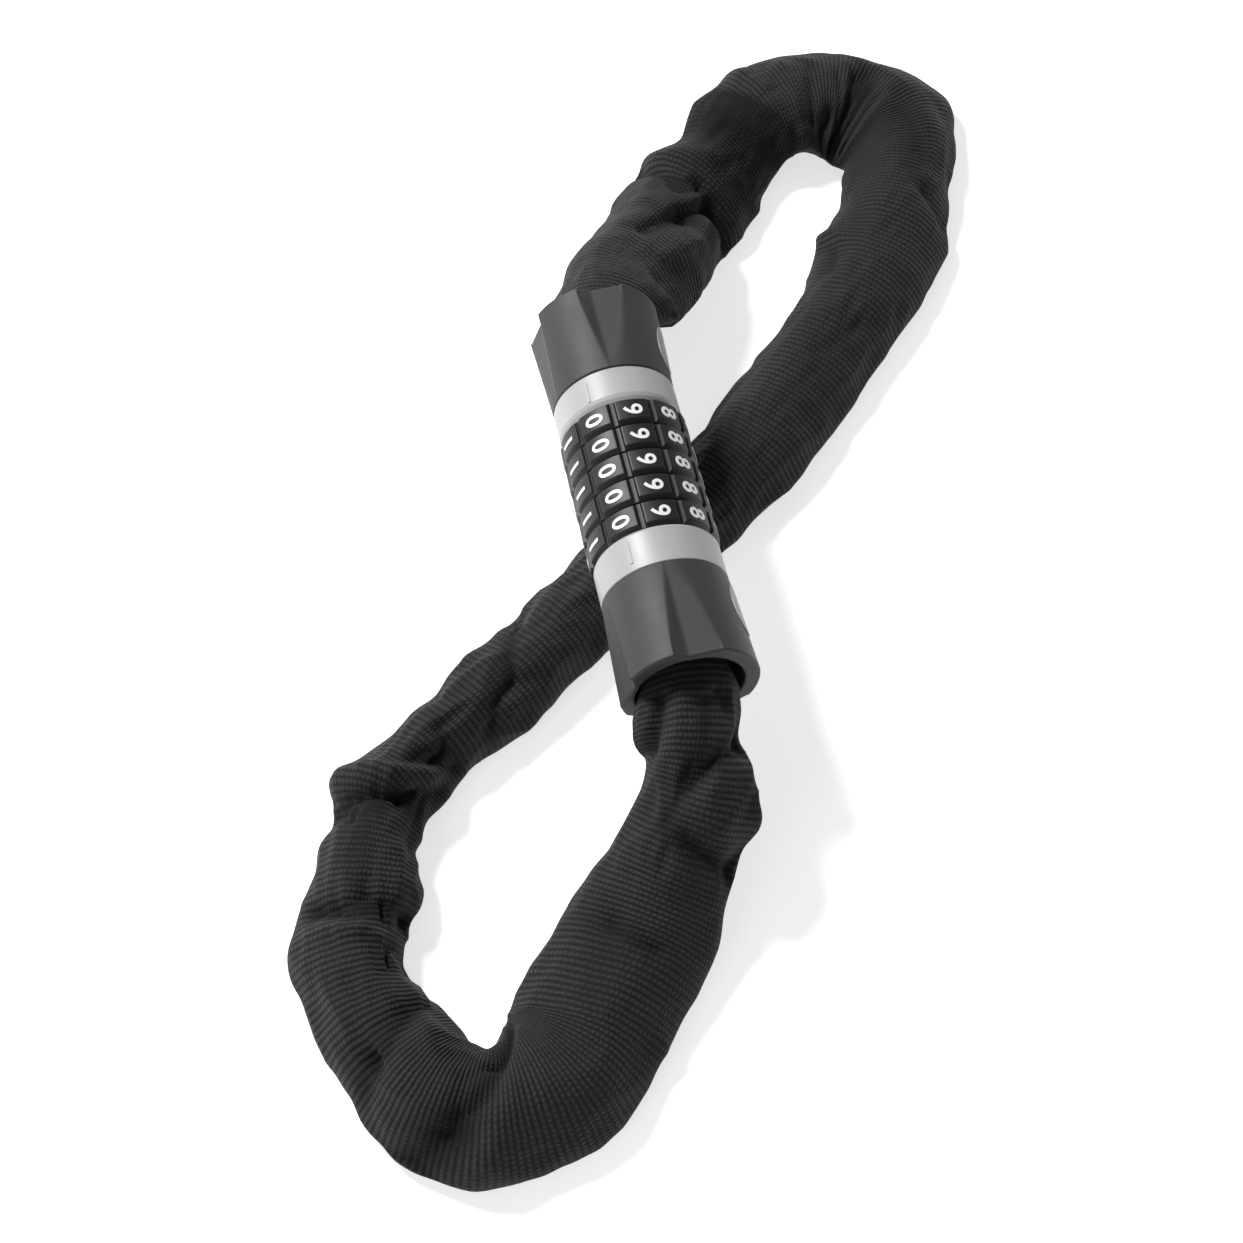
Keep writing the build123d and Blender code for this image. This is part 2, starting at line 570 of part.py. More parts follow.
def main():
    os.makedirs("parts", exist_ok=True)
    nodes = {
        "core_tube": in_barrel(core_tube()),
        "click_spring": in_barrel(click_spring()),
        "upper_ring": in_barrel(upper_ring()),
        "lower_ring": in_barrel(lower_ring()),
        "stack_washer": in_barrel(stack_washer()),
        "retaining_clip": in_barrel(retaining_clip()),
        "locking_pin": in_barrel(locking_pin()),
    }
    for i, place in enumerate(DIAL_PLACES):
        nodes[f"dial_{i + 1}"] = in_barrel(Pos(0, 0, place) * dial())
        nodes[f"code_disc_{i + 1}"] = in_barrel(Pos(0, 0, place) * code_disc())
    ends = (("plug", at_plug, PIN_RADIUS, UP_FROM_BADGE),
            ("body", at_body, TUBE_RADIUS, -UP_FROM_BADGE))
    for name, put, socket_radius, up_turn in ends:
        nodes[f"{name}_cap"] = put(end_cap())
        nodes[f"{name}_badge"] = put(badge())
        nodes[f"{name}_cap_screw"] = put(cap_screw())
        nodes[f"{name}_hub"] = put(hub(socket_radius, up_turn))
        nodes[f"{name}_dowel"] = put(Pos(0, 0, DOWEL_PLACE) * dowel())
        pin = chain_pin(NECK_RADIUS - 0.4)
        nodes[f"{name}_chain_pin"] = put(Rot(0, 0, up_turn) * pin)
        nodes[f"{name}_sleeve_ferrule"] = put(ferrule())

    links, pitch = chain_links()
    inner = links[1:-1]
    plug_run = 6
    third = (len(inner) - plug_run) / 3
    cuts = [0, plug_run, plug_run + round(third), plug_run + round(2 * third), len(inner)]
    names = ["chain_links_plug_run", "chain_links_far_loop", "chain_links_middle",
             "chain_links_near_loop"]
    nodes["plug_end_link"] = links[0]
    nodes["body_end_link"] = links[-1]
    for name, start, end in zip(names, cuts, cuts[1:]):
        nodes[name] = Compound(children=inner[start:end])

    first = 0
    for name, last in SLEEVE_STRETCHES.items():
        nodes[name] = sleeve_stretch(first, last)
        first = last

    for name, shape in nodes.items():
        export_step(shape, f"parts/{name}.step")

    whole = stretch(0, len(ROUTE) - 2)
    section = pi * (SLEEVE_RADIUS ** 2 - SLEEVE_BORE ** 2)
    volume = sum(nodes[name].volume for name in SLEEVE_STRETCHES)
    print("sleeve length", round(whole.length, 1), "from volume", round(volume / section, 1))
    print("arc radii", [round(corner_radius(i), 1) for i in range(1, len(ROUTE) - 1)])
    print("links", len(links), "pitch", round(pitch, 2))
    print("plug travel", round(PLUG_TRAVEL, 2), "axis height", AXIS_HEIGHT)
    print("barrel length", PLUG_SEAM + BODY_SEAM + 2 * CAP_LENGTH)
    boxes = [shape.bounding_box() for shape in nodes.values()]
    for axis in "XYZ":
        low = min(getattr(box.min, axis) for box in boxes)
        high = max(getattr(box.max, axis) for box in boxes)
        print(axis, round(low, 2), round(high, 2), "middle", round((low + high) / 2, 2))


main()
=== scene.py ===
import json
import math

import bmesh
import bpy
import numpy as np
from mathutils import Matrix, Vector, bvhtree, kdtree, noise


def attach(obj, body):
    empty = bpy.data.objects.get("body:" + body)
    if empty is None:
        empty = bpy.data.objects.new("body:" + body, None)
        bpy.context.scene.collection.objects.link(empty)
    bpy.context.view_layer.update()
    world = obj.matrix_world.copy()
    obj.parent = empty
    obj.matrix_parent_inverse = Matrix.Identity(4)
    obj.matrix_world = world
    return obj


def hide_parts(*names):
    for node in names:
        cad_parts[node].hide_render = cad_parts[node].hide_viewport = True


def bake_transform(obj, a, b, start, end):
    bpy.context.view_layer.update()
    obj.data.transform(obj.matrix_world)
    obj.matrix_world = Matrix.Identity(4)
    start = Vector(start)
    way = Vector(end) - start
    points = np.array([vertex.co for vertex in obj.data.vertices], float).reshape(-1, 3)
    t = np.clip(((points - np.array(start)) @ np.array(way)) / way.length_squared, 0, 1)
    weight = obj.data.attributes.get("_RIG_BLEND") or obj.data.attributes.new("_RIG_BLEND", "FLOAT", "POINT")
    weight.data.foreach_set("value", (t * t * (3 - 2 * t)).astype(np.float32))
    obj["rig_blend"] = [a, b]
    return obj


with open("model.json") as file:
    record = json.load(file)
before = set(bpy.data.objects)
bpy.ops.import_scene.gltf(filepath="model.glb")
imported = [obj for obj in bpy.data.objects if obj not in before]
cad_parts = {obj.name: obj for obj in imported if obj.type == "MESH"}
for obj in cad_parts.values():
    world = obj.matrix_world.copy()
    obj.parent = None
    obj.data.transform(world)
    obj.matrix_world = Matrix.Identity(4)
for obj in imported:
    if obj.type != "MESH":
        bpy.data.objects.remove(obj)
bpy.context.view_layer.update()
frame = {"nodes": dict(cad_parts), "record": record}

# Lengths in this script are millimetres until a mesh is written, which is in metres.
MM = 0.001
BARREL = Vector((-11.5, -6.0, 41.5))      # middle of the barrel
SEAMS = {"plug": 35.0, "body": -34.75}    # where each cap meets its ring, along the barrel
CAP_LENGTH = 31.0
INDEX_ANGLE = -30.0                       # from straight up, towards +X
BADGE_ANGLE = 72.5


# --- small helpers ---------------------------------------------------------------------------


def smooth(x, low, high):
    """Runs from 0 at low to 1 at high, easing in and out."""
    t = np.clip((np.asarray(x, float) - low) / (high - low), 0, 1)
    return t * t * (3 - 2 * t)


def around_barrel(radius, angle, along):
    """Points beside the barrel: angle in degrees from straight up, along towards the plug."""
    turn = np.radians(angle)
    return np.stack([BARREL.x + radius * np.sin(turn),
                     BARREL.y + along + 0 * radius,
                     BARREL.z + radius * np.cos(turn)], axis=-1)


def get_points(mesh):
    points = np.empty(len(mesh.vertices) * 3)
    mesh.vertices.foreach_get("co", points)
    return points.reshape(-1, 3)


def set_points(mesh, points):
    mesh.vertices.foreach_set("co", np.ascontiguousarray(points, np.float32).ravel())
    mesh.update()


def add_object(name, mesh, material):
    thing = bpy.data.objects.new(name, mesh)
    bpy.context.scene.collection.objects.link(thing)
    mesh.materials.clear()
    mesh.materials.append(material)
    return thing


def face_outwards(mesh):
    """Turns every face of a closed mesh outwards."""
    shape = bmesh.new()
    shape.from_mesh(mesh)
    bmesh.ops.recalc_face_normals(shape, faces=shape.faces)
    shape.to_mesh(mesh)
    shape.free()


def round_places(points):
    """Radius, distance along and angle in degrees of points about the Y axis."""
    radius = np.hypot(points[:, 0], points[:, 2])
    angle = np.degrees(np.arctan2(points[:, 0], points[:, 2]))
    return radius, points[:, 1], angle


def smoothed(values, window, ends):
    """A row of values, each averaged with its neighbours; ends says how the row goes on."""
    kernel = np.hanning(window + 2)[1:-1]
    padded = np.pad(values, window // 2, mode=ends)
    return np.convolve(padded, kernel / kernel.sum(), mode="valid")


def shade_by_angle(mesh, degrees):
    """Smooth shading, with edges sharper than the angle left crisp."""
    shaped = bmesh.new()
    shaped.from_mesh(mesh)
    for face in shaped.faces:
        face.smooth = True
    for edge in shaped.edges:
        if len(edge.link_faces) == 2:
            edge.smooth = edge.calc_face_angle(0) < math.radians(degrees)
    shaped.to_mesh(mesh)
    shaped.free()


def grid_places(shape, columns, rows):
    """Makes a flat grid in the bmesh, and returns the column and row of each of its points."""
    bmesh.ops.create_grid(shape, x_segments=columns, y_segments=rows, size=1, calc_uvs=False)
    grid = np.array([vert.co for vert in shape.verts])
    column = np.rint((grid[:, 0] + 1) / 2 * columns).astype(int)
    row = np.rint((grid[:, 1] + 1) / 2 * rows).astype(int)
    return column, row


def turned(name, profile, steps):
    """A closed outline of (radius, along) points turned about the Y axis through the origin."""
    shape = bmesh.new()
    column, row = grid_places(shape, steps, len(profile))
    outline = np.array(profile)[row % len(profile)]
    turn = (column % steps) * 2 * np.pi / steps
    places = np.stack([outline[:, 0] * np.sin(turn), outline[:, 1],
                       outline[:, 0] * np.cos(turn)], 1)
    for vert, place in zip(shape.verts, places):
        vert.co = place
    bmesh.ops.remove_doubles(shape, verts=shape.verts, dist=1e-5)
    bmesh.ops.recalc_face_normals(shape, faces=shape.faces)
    mesh = bpy.data.meshes.new(name)
    shape.to_mesh(mesh)
    shape.free()
    return mesh


def between(*corners, spacing):
    """The corners of an outline with points added so that none are further apart."""
    points = []
    for start, end in zip(corners, corners[1:]):
        steps = max(1, round(math.dist(start, end) / spacing))
        points += [(start[0] + (end[0] - start[0]) * i / steps,
                    start[1] + (end[1] - start[1]) * i / steps) for i in range(steps)]
    return points + [corners[-1]]


# --- materials ---------------------------------------------------------------------------------


def add_noise(tree, place, detail, scale=None):
    """A noise texture on the given coordinates; without a scale, its Scale is linked later."""
    node = tree.nodes.new("ShaderNodeTexNoise")
    node.inputs["Detail"].default_value = detail
    if scale is not None:
        node.inputs["Scale"].default_value = scale
    tree.links.new(place, node.inputs["Vector"])
    return node


def calculate(tree, operation, a, b=None, c=None):
    """One step of arithmetic; each of a, b and c is a number or another node's output."""
    node = tree.nodes.new("ShaderNodeMath")
    node.operation = operation
    for i, value in enumerate((a, b, c)):
        if value is None:
            continue
        if isinstance(value, (int, float)):
            node.inputs[i].default_value = value
        else:
            tree.links.new(value, node.inputs[i])
    return node.outputs[0]


def mix_colours(tree, share, low, high):
    node = tree.nodes.new("ShaderNodeMix")
    node.data_type = "RGBA"
    tree.links.new(share, node.inputs[0])
    for socket, value in ((node.inputs[6], low), (node.inputs[7], high)):
        if isinstance(value, tuple):
            socket.default_value = (*value, 1)
        else:
            tree.links.new(value, socket)
    return node.outputs[2]


def make_grain_group():
    """Mottling and fine grain, shared by the moulded and metal finishes."""
    group = bpy.data.node_groups.new("surface_grain", "ShaderNodeTree")
    group.interface.new_socket("Vector", in_out="INPUT", socket_type="NodeSocketVector")
    group.interface.new_socket("Grain", in_out="INPUT", socket_type="NodeSocketFloat")
    group.interface.new_socket("Mottle", in_out="OUTPUT", socket_type="NodeSocketFloat")
    group.interface.new_socket("Fine", in_out="OUTPUT", socket_type="NodeSocketFloat")
    source = group.nodes.new("NodeGroupInput")
    result = group.nodes.new("NodeGroupOutput")
    broad = add_noise(group, source.outputs["Vector"], detail=4.0, scale=90.0)
    fine = add_noise(group, source.outputs["Vector"], detail=3.0)
    group.links.new(source.outputs["Grain"], fine.inputs["Scale"])
    group.links.new(broad.outputs["Fac"], result.inputs["Mottle"])
    group.links.new(fine.outputs["Fac"], result.inputs["Fine"])
    return group


GLOSS_SPREAD = 0.16       # how uneven the gloss of a moulded or metal surface is


def make_finish(name, dark, light, rough, metal=0.0, grain=2500.0, bump=0.02,
                stretch=(1, 1, 1)):
    """A moulded or metal surface: two close tones, uneven gloss and a fine grain."""
    material = bpy.data.materials.new(name)
    material.use_nodes = True
    tree = material.node_tree
    shader = tree.nodes["Principled BSDF"]
    place = tree.nodes.new("ShaderNodeTexCoord")
    mapping = tree.nodes.new("ShaderNodeMapping")
    mapping.inputs["Scale"].default_value = stretch
    tree.links.new(place.outputs["Object"], mapping.inputs["Vector"])
    group = tree.nodes.new("ShaderNodeGroup")
    group.node_tree = GRAIN
    group.inputs["Grain"].default_value = grain
    tree.links.new(mapping.outputs[0], group.inputs["Vector"])
    share = calculate(tree, "ADD", calculate(tree, "MULTIPLY", group.outputs["Mottle"], 0.5),
                      calculate(tree, "MULTIPLY", group.outputs["Fine"], 0.5))
    tree.links.new(mix_colours(tree, share, dark, light), shader.inputs["Base Color"])
    gloss = calculate(tree, "MULTIPLY_ADD", group.outputs["Mottle"], GLOSS_SPREAD,
                      rough - GLOSS_SPREAD / 2)
    tree.links.new(gloss, shader.inputs["Roughness"])
    relief = tree.nodes.new("ShaderNodeBump")
    relief.inputs["Strength"].default_value = 0.6
    relief.inputs["Distance"].default_value = bump * MM
    tree.links.new(group.outputs["Fine"], relief.inputs["Height"])
    tree.links.new(relief.outputs[0], shader.inputs["Normal"])
    shader.inputs["Metallic"].default_value = metal
    return material


RIB_DRIFT = 1.1           # how far a rib wanders, in millimetres from end to end
RIB_ROUND = 0.75          # under 1 makes the ribs broader than the gaps between them
STITCH_SHARE = 0.45       # how much of a rib's height the stitches cut into
STITCH_OFFSET = 0.8       # turn between the stitches of one rib and the next, either way
WEAVE_RELIEF = 0.45


def make_fabric(name, rib_pitch, stitch_pitch):
    """Black ribbed weave: ribs across the sleeve, each one a row of small stitches.
    The sleeve's UV map runs in metres, U round it and V along it."""
    material = bpy.data.materials.new(name)
    material.use_nodes = True
    tree = material.node_tree
    shader = tree.nodes["Principled BSDF"]
    place = tree.nodes.new("ShaderNodeUVMap")
    place.uv_map = "weave"
    split = tree.nodes.new("ShaderNodeSeparateXYZ")
    tree.links.new(place.outputs[0], split.inputs[0])
    wander = add_noise(tree, place.outputs[0], detail=2.0, scale=60.0)
    drift = calculate(tree, "MULTIPLY_ADD", wander.outputs["Fac"], RIB_DRIFT * MM,
                      -RIB_DRIFT / 2 * MM)
    along = calculate(tree, "ADD", split.outputs["Y"], drift)
    rib_turn = calculate(tree, "MULTIPLY", along, 2 * math.pi / (rib_pitch * MM))
    rib = calculate(tree, "MULTIPLY_ADD", calculate(tree, "SINE", rib_turn), 0.5, 0.5)
    rib = calculate(tree, "POWER", rib, RIB_ROUND)
    half_turn = calculate(tree, "MULTIPLY", along, math.pi / (rib_pitch * MM))
    every_other = calculate(tree, "SIGN", calculate(tree, "SINE", half_turn))
    offset = calculate(tree, "MULTIPLY", every_other, STITCH_OFFSET)
    stitch_turn = calculate(tree, "MULTIPLY_ADD", split.outputs["X"],
                            2 * math.pi / (stitch_pitch * MM), offset)
    stitch = calculate(tree, "MULTIPLY_ADD", calculate(tree, "SINE", stitch_turn), 0.5, 0.5)
    weave = calculate(tree, "MULTIPLY", rib,
                      calculate(tree, "MULTIPLY_ADD", stitch, STITCH_SHARE, 1 - STITCH_SHARE))
    fuzz = add_noise(tree, place.outputs[0], detail=2.0, scale=1500.0)
    worn = add_noise(tree, place.outputs[0], detail=3.0, scale=28.0)
    # Painted highlight and shade: the colour follows the weave's relief, rib tops lighter and the gaps
    # between ribs darker; the worn and fuzz noises vary the tone at random.
    painted_rib_shade_and_tone = calculate(tree, "MULTIPLY", weave,
                     calculate(tree, "MULTIPLY_ADD", worn.outputs["Fac"], 0.9, 0.45))
    painted_rib_shade_and_tone = calculate(tree, "MULTIPLY", painted_rib_shade_and_tone,
                     calculate(tree, "MULTIPLY_ADD", fuzz.outputs["Fac"], 0.8, 0.6))
    colour = mix_colours(tree, painted_rib_shade_and_tone, (0.0045, 0.0045, 0.0047), (0.036, 0.036, 0.037))
    # Painted shade: this attribute darkens the colour towards near black in creases and in the shaded
    # stretch beside the plug.
    painted_shade = tree.nodes.new("ShaderNodeAttribute")
    painted_shade.attribute_name = "painted_fold_shade"
    colour = mix_colours(tree, painted_shade.outputs["Fac"], colour, (0.0008, 0.0008, 0.0008))
    tree.links.new(colour, shader.inputs["Base Color"])
    relief = tree.nodes.new("ShaderNodeBump")
    relief.inputs["Strength"].default_value = 0.9
    relief.inputs["Distance"].default_value = WEAVE_RELIEF * MM
    tree.links.new(weave, relief.inputs["Height"])
    tree.links.new(relief.outputs[0], shader.inputs["Normal"])
    shader.inputs["Roughness"].default_value = 0.82
    shader.inputs["Specular IOR Level"].default_value = 0.3
    shader.inputs["Sheen Weight"].default_value = 0.05
    shader.inputs["Sheen Roughness"].default_value = 0.5
    return material


GRAIN = make_grain_group()
FABRIC = make_fabric("ribbed_sleeve_fabric", rib_pitch=2.05, stitch_pitch=1.25)
CAP_PLASTIC = make_finish("charcoal_satin_plastic", (0.024, 0.024, 0.025), (0.050, 0.050, 0.051),
                          0.60, grain=3500.0, bump=0.03)
RING_PLASTIC = make_finish("light_grey_satin_plastic", (0.37, 0.37, 0.375),
                           (0.45, 0.45, 0.455), 0.42, grain=1800.0, bump=0.01)
BADGE_PLASTIC = make_finish("badge_grey_plastic", (0.22, 0.22, 0.225), (0.30, 0.30, 0.31), 0.45)
DIAL_PLASTIC = make_finish("black_dial_plastic", (0.005, 0.005, 0.0055), (0.012, 0.012, 0.013),
                           0.5, grain=900.0, bump=0.008)
DIGIT_PAINT = make_finish("white_digit_paint", (0.78, 0.78, 0.78), (0.88, 0.88, 0.88), 0.45)
BRASS = make_finish("disc_brass", (0.55, 0.38, 0.14), (0.70, 0.52, 0.24), 0.32, metal=1.0,
                    grain=1200.0, bump=0.01)
STEEL = make_finish("turned_steel", (0.42, 0.42, 0.43), (0.60, 0.60, 0.61), 0.33, metal=1.0,
                    grain=1500.0, bump=0.01, stretch=(1, 0.1, 1))
SPRING_STEEL = make_finish("spring_steel", (0.30, 0.30, 0.32), (0.42, 0.42, 0.45), 0.25,
                           metal=1.0)
SCREW_STEEL = make_finish("black_oxide_steel", (0.03, 0.03, 0.032), (0.07, 0.07, 0.072), 0.45,
                          metal=1.0)
ZINC = make_finish("die_cast_zinc", (0.36, 0.37, 0.39), (0.50, 0.51, 0.53), 0.5, metal=1.0,
                   grain=700.0, bump=0.04)
ALUMINIUM = make_finish("crimped_aluminium", (0.60, 0.60, 0.62), (0.76, 0.76, 0.78), 0.36,
                        metal=1.0)
CHAIN_STEEL = make_finish("zinc_plated_chain", (0.42, 0.42, 0.44), (0.60, 0.60, 0.62), 0.35,
                          metal=1.0, grain=800.0, bump=0.03)

NODE_FINISHES = {
    "cap_plastic": CAP_PLASTIC, "ring_plastic": RING_PLASTIC, "badge_plastic": BADGE_PLASTIC,
    "dial_plastic": DIAL_PLASTIC, "disc_brass": BRASS, "steel": STEEL,
    "spring_steel": SPRING_STEEL, "screw_steel": SCREW_STEEL, "zinc_hub": ZINC,
    "ferrule_aluminium": ALUMINIUM, "chain_steel": CHAIN_STEEL, "sleeve_fabric": FABRIC,
}
for subpart in frame["record"]["subparts"]:
    node = frame["nodes"][subpart["node"]]
    node.data.materials.clear()
    node.data.materials.append(NODE_FINISHES[subpart["material_slot"]])


# --- sleeve --------------------------------------------------------------------------------------

# The route from the plug to the body cap, point by point.
ROUTE = [
    (-11.5, 43.5, 41.5), (-11.5, 72.0, 41.5), (8.5, 94, 31), (25.5, 118, 18), (41.5, 142, 14),
    (59.5, 160, 15), (81, 168, 14), (100.5, 164.5, 11), (113, 150, 11), (114, 130, 11),
    (104, 110.5, 11), (88, 88, 11), (54, 49.5, 11), (24, 19.5, 11), (-10.5, -5, 11),
    (-41.5, -27.5, 11), (-69.5, -46, 11), (-93.5, -64, 11), (-106.5, -86, 11),
    (-112.5, -114, 11), (-111.5, -138, 11), (-101.5, -159, 11), (-81.5, -168, 11),
    (-60.5, -162, 11), (-48.5, -143, 11), (-34.5, -121, 13), (-20.5, -102, 26),
    (-11.5, -83.75, 41.5), (-11.5, -55.25, 41.5),
]
RINGS = 800
AROUND = 96
TABLE_LIFT = 0.35         # fabric above the table
CHAIN_COVER = 0.8         # fabric beyond the chain
CLOTH_ROUND = 95          # distance round the sleeve
END_RINGS = 20            # rings at each end, inside the caps, that are left as they are
LINK_GRID = 0.6           # spacing at which the chain's points are thinned
LINK_REACH = (3, 14)      # distances from the line at which a point of the chain can show
RAY_LENGTH = 30
LIFT_PASSES = 4           # times that the fabric is lifted and tested again
LIFT_SPREAD = 0.6         # share of a lift that the fabric beside it takes
SLICE_HALF = 1.5          # how far from a ring a point of the chain still counts for it
FREE_START = (17, 30)     # where creases fade in after the plug's cap
FREE_END = (22, 17)       # and out before the body's cap, from the far end
FLAT_WIDTH = (12, 20)     # half widths between which the section turns from round to flat
BROAD_RIPPLE = 15.0
MID_RIPPLE = 6.5
PLEAT_ACROSS, PLEAT_ALONG = 5.0, 16.0
NARROW_WIDTH = (30, 44)   # widths between which the pleats of a gathered sleeve fade
FOLD_DEPTH_FULL_SHADE = 2.8     # crease depth at which its painted shade is darkest
# share of the mix towards near black at the darkest painted shade
PAINTED_SHADE_DARKEST = 0.93
GATHER = (20, 108)        # stretch over which the cord stops following the plug

# Half widths left and right of the route at places along it, looking along the route.
WIDTHS = [
    (0, 10.95, 10.95), (5, 10.95, 10.95), (10, 13.0, 13.0), (16, 14.8, 14.8), (22, 14.5, 20),
    (30, 12.0, 25.5), (50, 14.5, 26), (70, 16, 24.2), (90, 18, 22.5), (100, 17, 24),
    (111, 16.5, 25), (120, 12, 25.5), (127, 10.5, 24), (136, 16, 22), (150, 17, 20),
    (158, 18.5, 22), (166, 21.5, 22.5), (175, 23, 24), (188, 26.5, 23), (197, 29.6, 22),
    (203, 29.6, 21), (211, 22.5, 20), (226, 14.5, 21.5), (236, 15.5, 20.5),
    (246, 19.5, 20), (262, 20, 22.5), (270, 19.8, 21), (290, 18.2, 17),
    (330, 17.8, 17.8), (350, 18.2, 18.2), (370, 16.5, 16.5), (400, 15, 15), (440, 14.5, 14),
    (455, 14, 14), (470, 16, 12.5), (482, 15.5, 10.5), (490, 12.5, 10.5), (503, 12.5, 11),
    (512, 13.5, 13), (522, 12, 16), (532, 11.5, 13.5), (548, 16.5, 16.5), (556, 13.5, 18),
    (563, 10, 21.5), (570, 9, 21), (579, 13, 18.5), (590, 17, 17), (600, 17.5, 16.5),
    (612, 16, 20.5), (624, 16, 22), (634, 23, 18.5), (650, 25.8, 19), (661, 26, 16.5), (670, 25.8, 18),
    (690, 22.5, 22), (710, 17.8, 19.5), (722, 14, 19), (733, 12.5, 22), (740, 14, 17.5),
    (750, 17, 12.5), (757, 17, 14.5), (763, 14, 14), (768, 12.3, 12), (774, 10.95, 10.95),
    (800, 10.95, 10.95),
]

# Height of the fabric above and below the route's line, and how far its edges hang.
THICKNESS = [
    (0, 10.95, 10.95, 0), (6, 10.95, 10.95, 0), (16, 14.6, 14.6, 0), (30, 13, 13, 2),
    (60, 12, 12, 3), (100, 11, 11, 4), (118, 10.5, 11, 1), (142, 10.5, 11, 1), (152, 12.8, 10, -1),
    (175, 12, 11, 2), (200, 10, 11, 5), (250, 9.6, 11, 5.5), (370, 9.2, 11, 4.5),
    (440, 9.2, 11, 4), (505, 10.5, 11, 3), (520, 11.5, 11, 2), (530, 9.5, 11, 3),
    (600, 9.8, 11, 5), (660, 9.8, 11, 6.5), (700, 10, 11, 5), (730, 11, 11, 3),
    (752, 10, 13, 1), (763, 9.6, 13.6, 0), (774, 10.95, 10.95, 0), (800, 10.95, 10.95, 0),
]

# Roll of the flat sleeve about the route, in degrees, left edge up.
ROLL = [(0, 0), (20, 0), (50, 12), (95, 18), (115, 24), (138, 26), (150, 12), (165, 0),
        (700, 0), (735, -6), (752, 0), (800, 0)]

# Creases and soft ridges on the upper side: start and end as (along, left of the route), then
# the height and the width.
FOLDS = [
    (58, 1, 82, -5.5, -3.2, 3.2), (82, -5.5, 99, -10, -3.6, 3.4), (98, -12, 97, -22, -4.0, 4.0),
    (52, -10, 76, -15, 1.8, 4.0), (104, 17, 95, 3, -3.0, 3.0), (95, 3, 102, -3, -3.2, 3.0),
    (108, 12, 116, 2, 3.0, 6.0), (78, 8, 96, 12, 1.5, 5.0),
    (152, 12, 152, -20, 1.8, 4.0), (175, -20, 180, -14, -3.2, 4.0),
    (189, 10, 190, -20, -2.6, 3.6), (183, 14, 184, -16, 1.6, 3.6), (197, 12, 203, -16, 1.6, 4.0),
    (181, 4, 186, -19, -1.8, 1.6), (186, 6, 190, -20, -2.0, 1.5), (193, 4, 195, -20, -2.0, 1.5),
    (197, 2, 200, -19, -1.6, 1.6), (172, 6, 168, -18, -1.2, 2.2), (164, 8, 160, -18, 1.2, 3.0),
    (206, 4, 232, 1, -1.6, 5.0), (214, -8, 246, -9, 1.2, 5.0), (244, 17, 238, 6, -1.8, 3.0),
    (262, -24, 266, -14, 1.6, 3.0), (270, -16, 282, -10, -1.6, 3.2), (300, 6, 340, 2, -1.0, 5.0),
    (330, -8, 372, -6, 0.9, 5.0), (452, -12, 470, 4, -2.0, 3.2), (470, 4, 486, 12, -1.8, 3.0),
    (474, -10, 492, -2, 1.6, 4.0), (488, -8, 500, 8, -1.8, 3.0), (514, 0, 506, 6, -3.0, 2.6),
    (506, 6, 500, 11, -2.6, 2.6), (521, -15, 516, 0, 3.4, 4.0), (516, 0, 509, 8, 2.0, 3.5),
    (528, -16, 528, -7, -4.2, 3.0), (528, -7, 522, 7, -4.6, 3.2), (522, 7, 509, 14, -3.4, 3.0),
    (534, -2, 554, 1, -1.8, 3.4), (538, 9, 552, 10, 1.4, 4.5), (556, -13, 559, -2, -3.6, 2.4),
    (557, 3, 559, 13, -3.8, 3.0), (562, -8, 566, 4, 2.2, 3.0), (566, 2, 574, 8, -2.0, 2.6),
    (571, -14, 584, -8, 1.5, 4.5), (590, 14, 598, -8, -2.0, 3.4), (598, -8, 602, -15, -1.6, 3.0),
    (600, 8, 616, 2, 1.6, 4.0), (614, -22, 622, -12, -3.4, 4.0), (640, 21, 629, 8, -3.2, 3.0),
    (629, 8, 619, -12, -3.0, 3.0), (634, 2, 627, -16, 1.8, 4.0), (646, 12, 640, -6, 1.8, 5.0),
    (661, -22, 668, -16, 1.6, 3.0), (672, 4, 690, 6, -1.0, 6.0), (688, -8, 691, 7, -1.6, 2.6),
    (718, -19, 722, -5, -3.0, 3.4), (730, -12, 738, -9, 1.8, 5.0), (724, 2, 738, -1, -1.8, 3.2),
    (738, -1, 756, -3, -2.6, 2.8), (749, -15, 742, -5, -3.2, 2.6), (744, 6, 764, 3, 1.2, 3.5),
    (744, 12, 762, 9, -2.8, 2.4), (756, -9, 766, -6, -1.8, 2.4),
]


def sleeve_line():
    """Evenly spaced points along a smooth curve through the route, and the length."""
    curve = bpy.data.curves.new("sleeve_line", "CURVE")
    curve.dimensions = "3D"
    spline = curve.splines.new("NURBS")
    spline.points.add(len(ROUTE) - 1)
    for point, place in zip(spline.points, ROUTE):
        point.co = (*(Vector(place) * MM), 1)
    spline.order_u = 3
    spline.use_endpoint_u = True
    spline.resolution_u = 24
    holder = bpy.data.objects.new("sleeve_line", curve)
    bpy.context.scene.collection.objects.link(holder)
    line = bpy.data.meshes.new_from_object(holder)
    points = get_points(line) / MM
    bpy.data.objects.remove(holder)
    bpy.data.meshes.remove(line)
    steps = np.linalg.norm(np.diff(points, axis=0), axis=1)
    keep = np.concatenate([[True], steps > 1e-6])
    points = points[keep]
    places = np.concatenate([[0], np.cumsum(steps[keep[1:]])])
    even = np.linspace(0, places[-1], RINGS)
    return np.stack([np.interp(even, places, points[:, i]) for i in range(3)], 1), places[-1]


def keyed(along, table, column, window=9):
    """A value from one of the tables, smoothed so that no key shows as a corner."""
    places = [row[0] for row in table]
    values = np.interp(along, places, [row[column] for row in table])
    return smoothed(values, window, "edge")


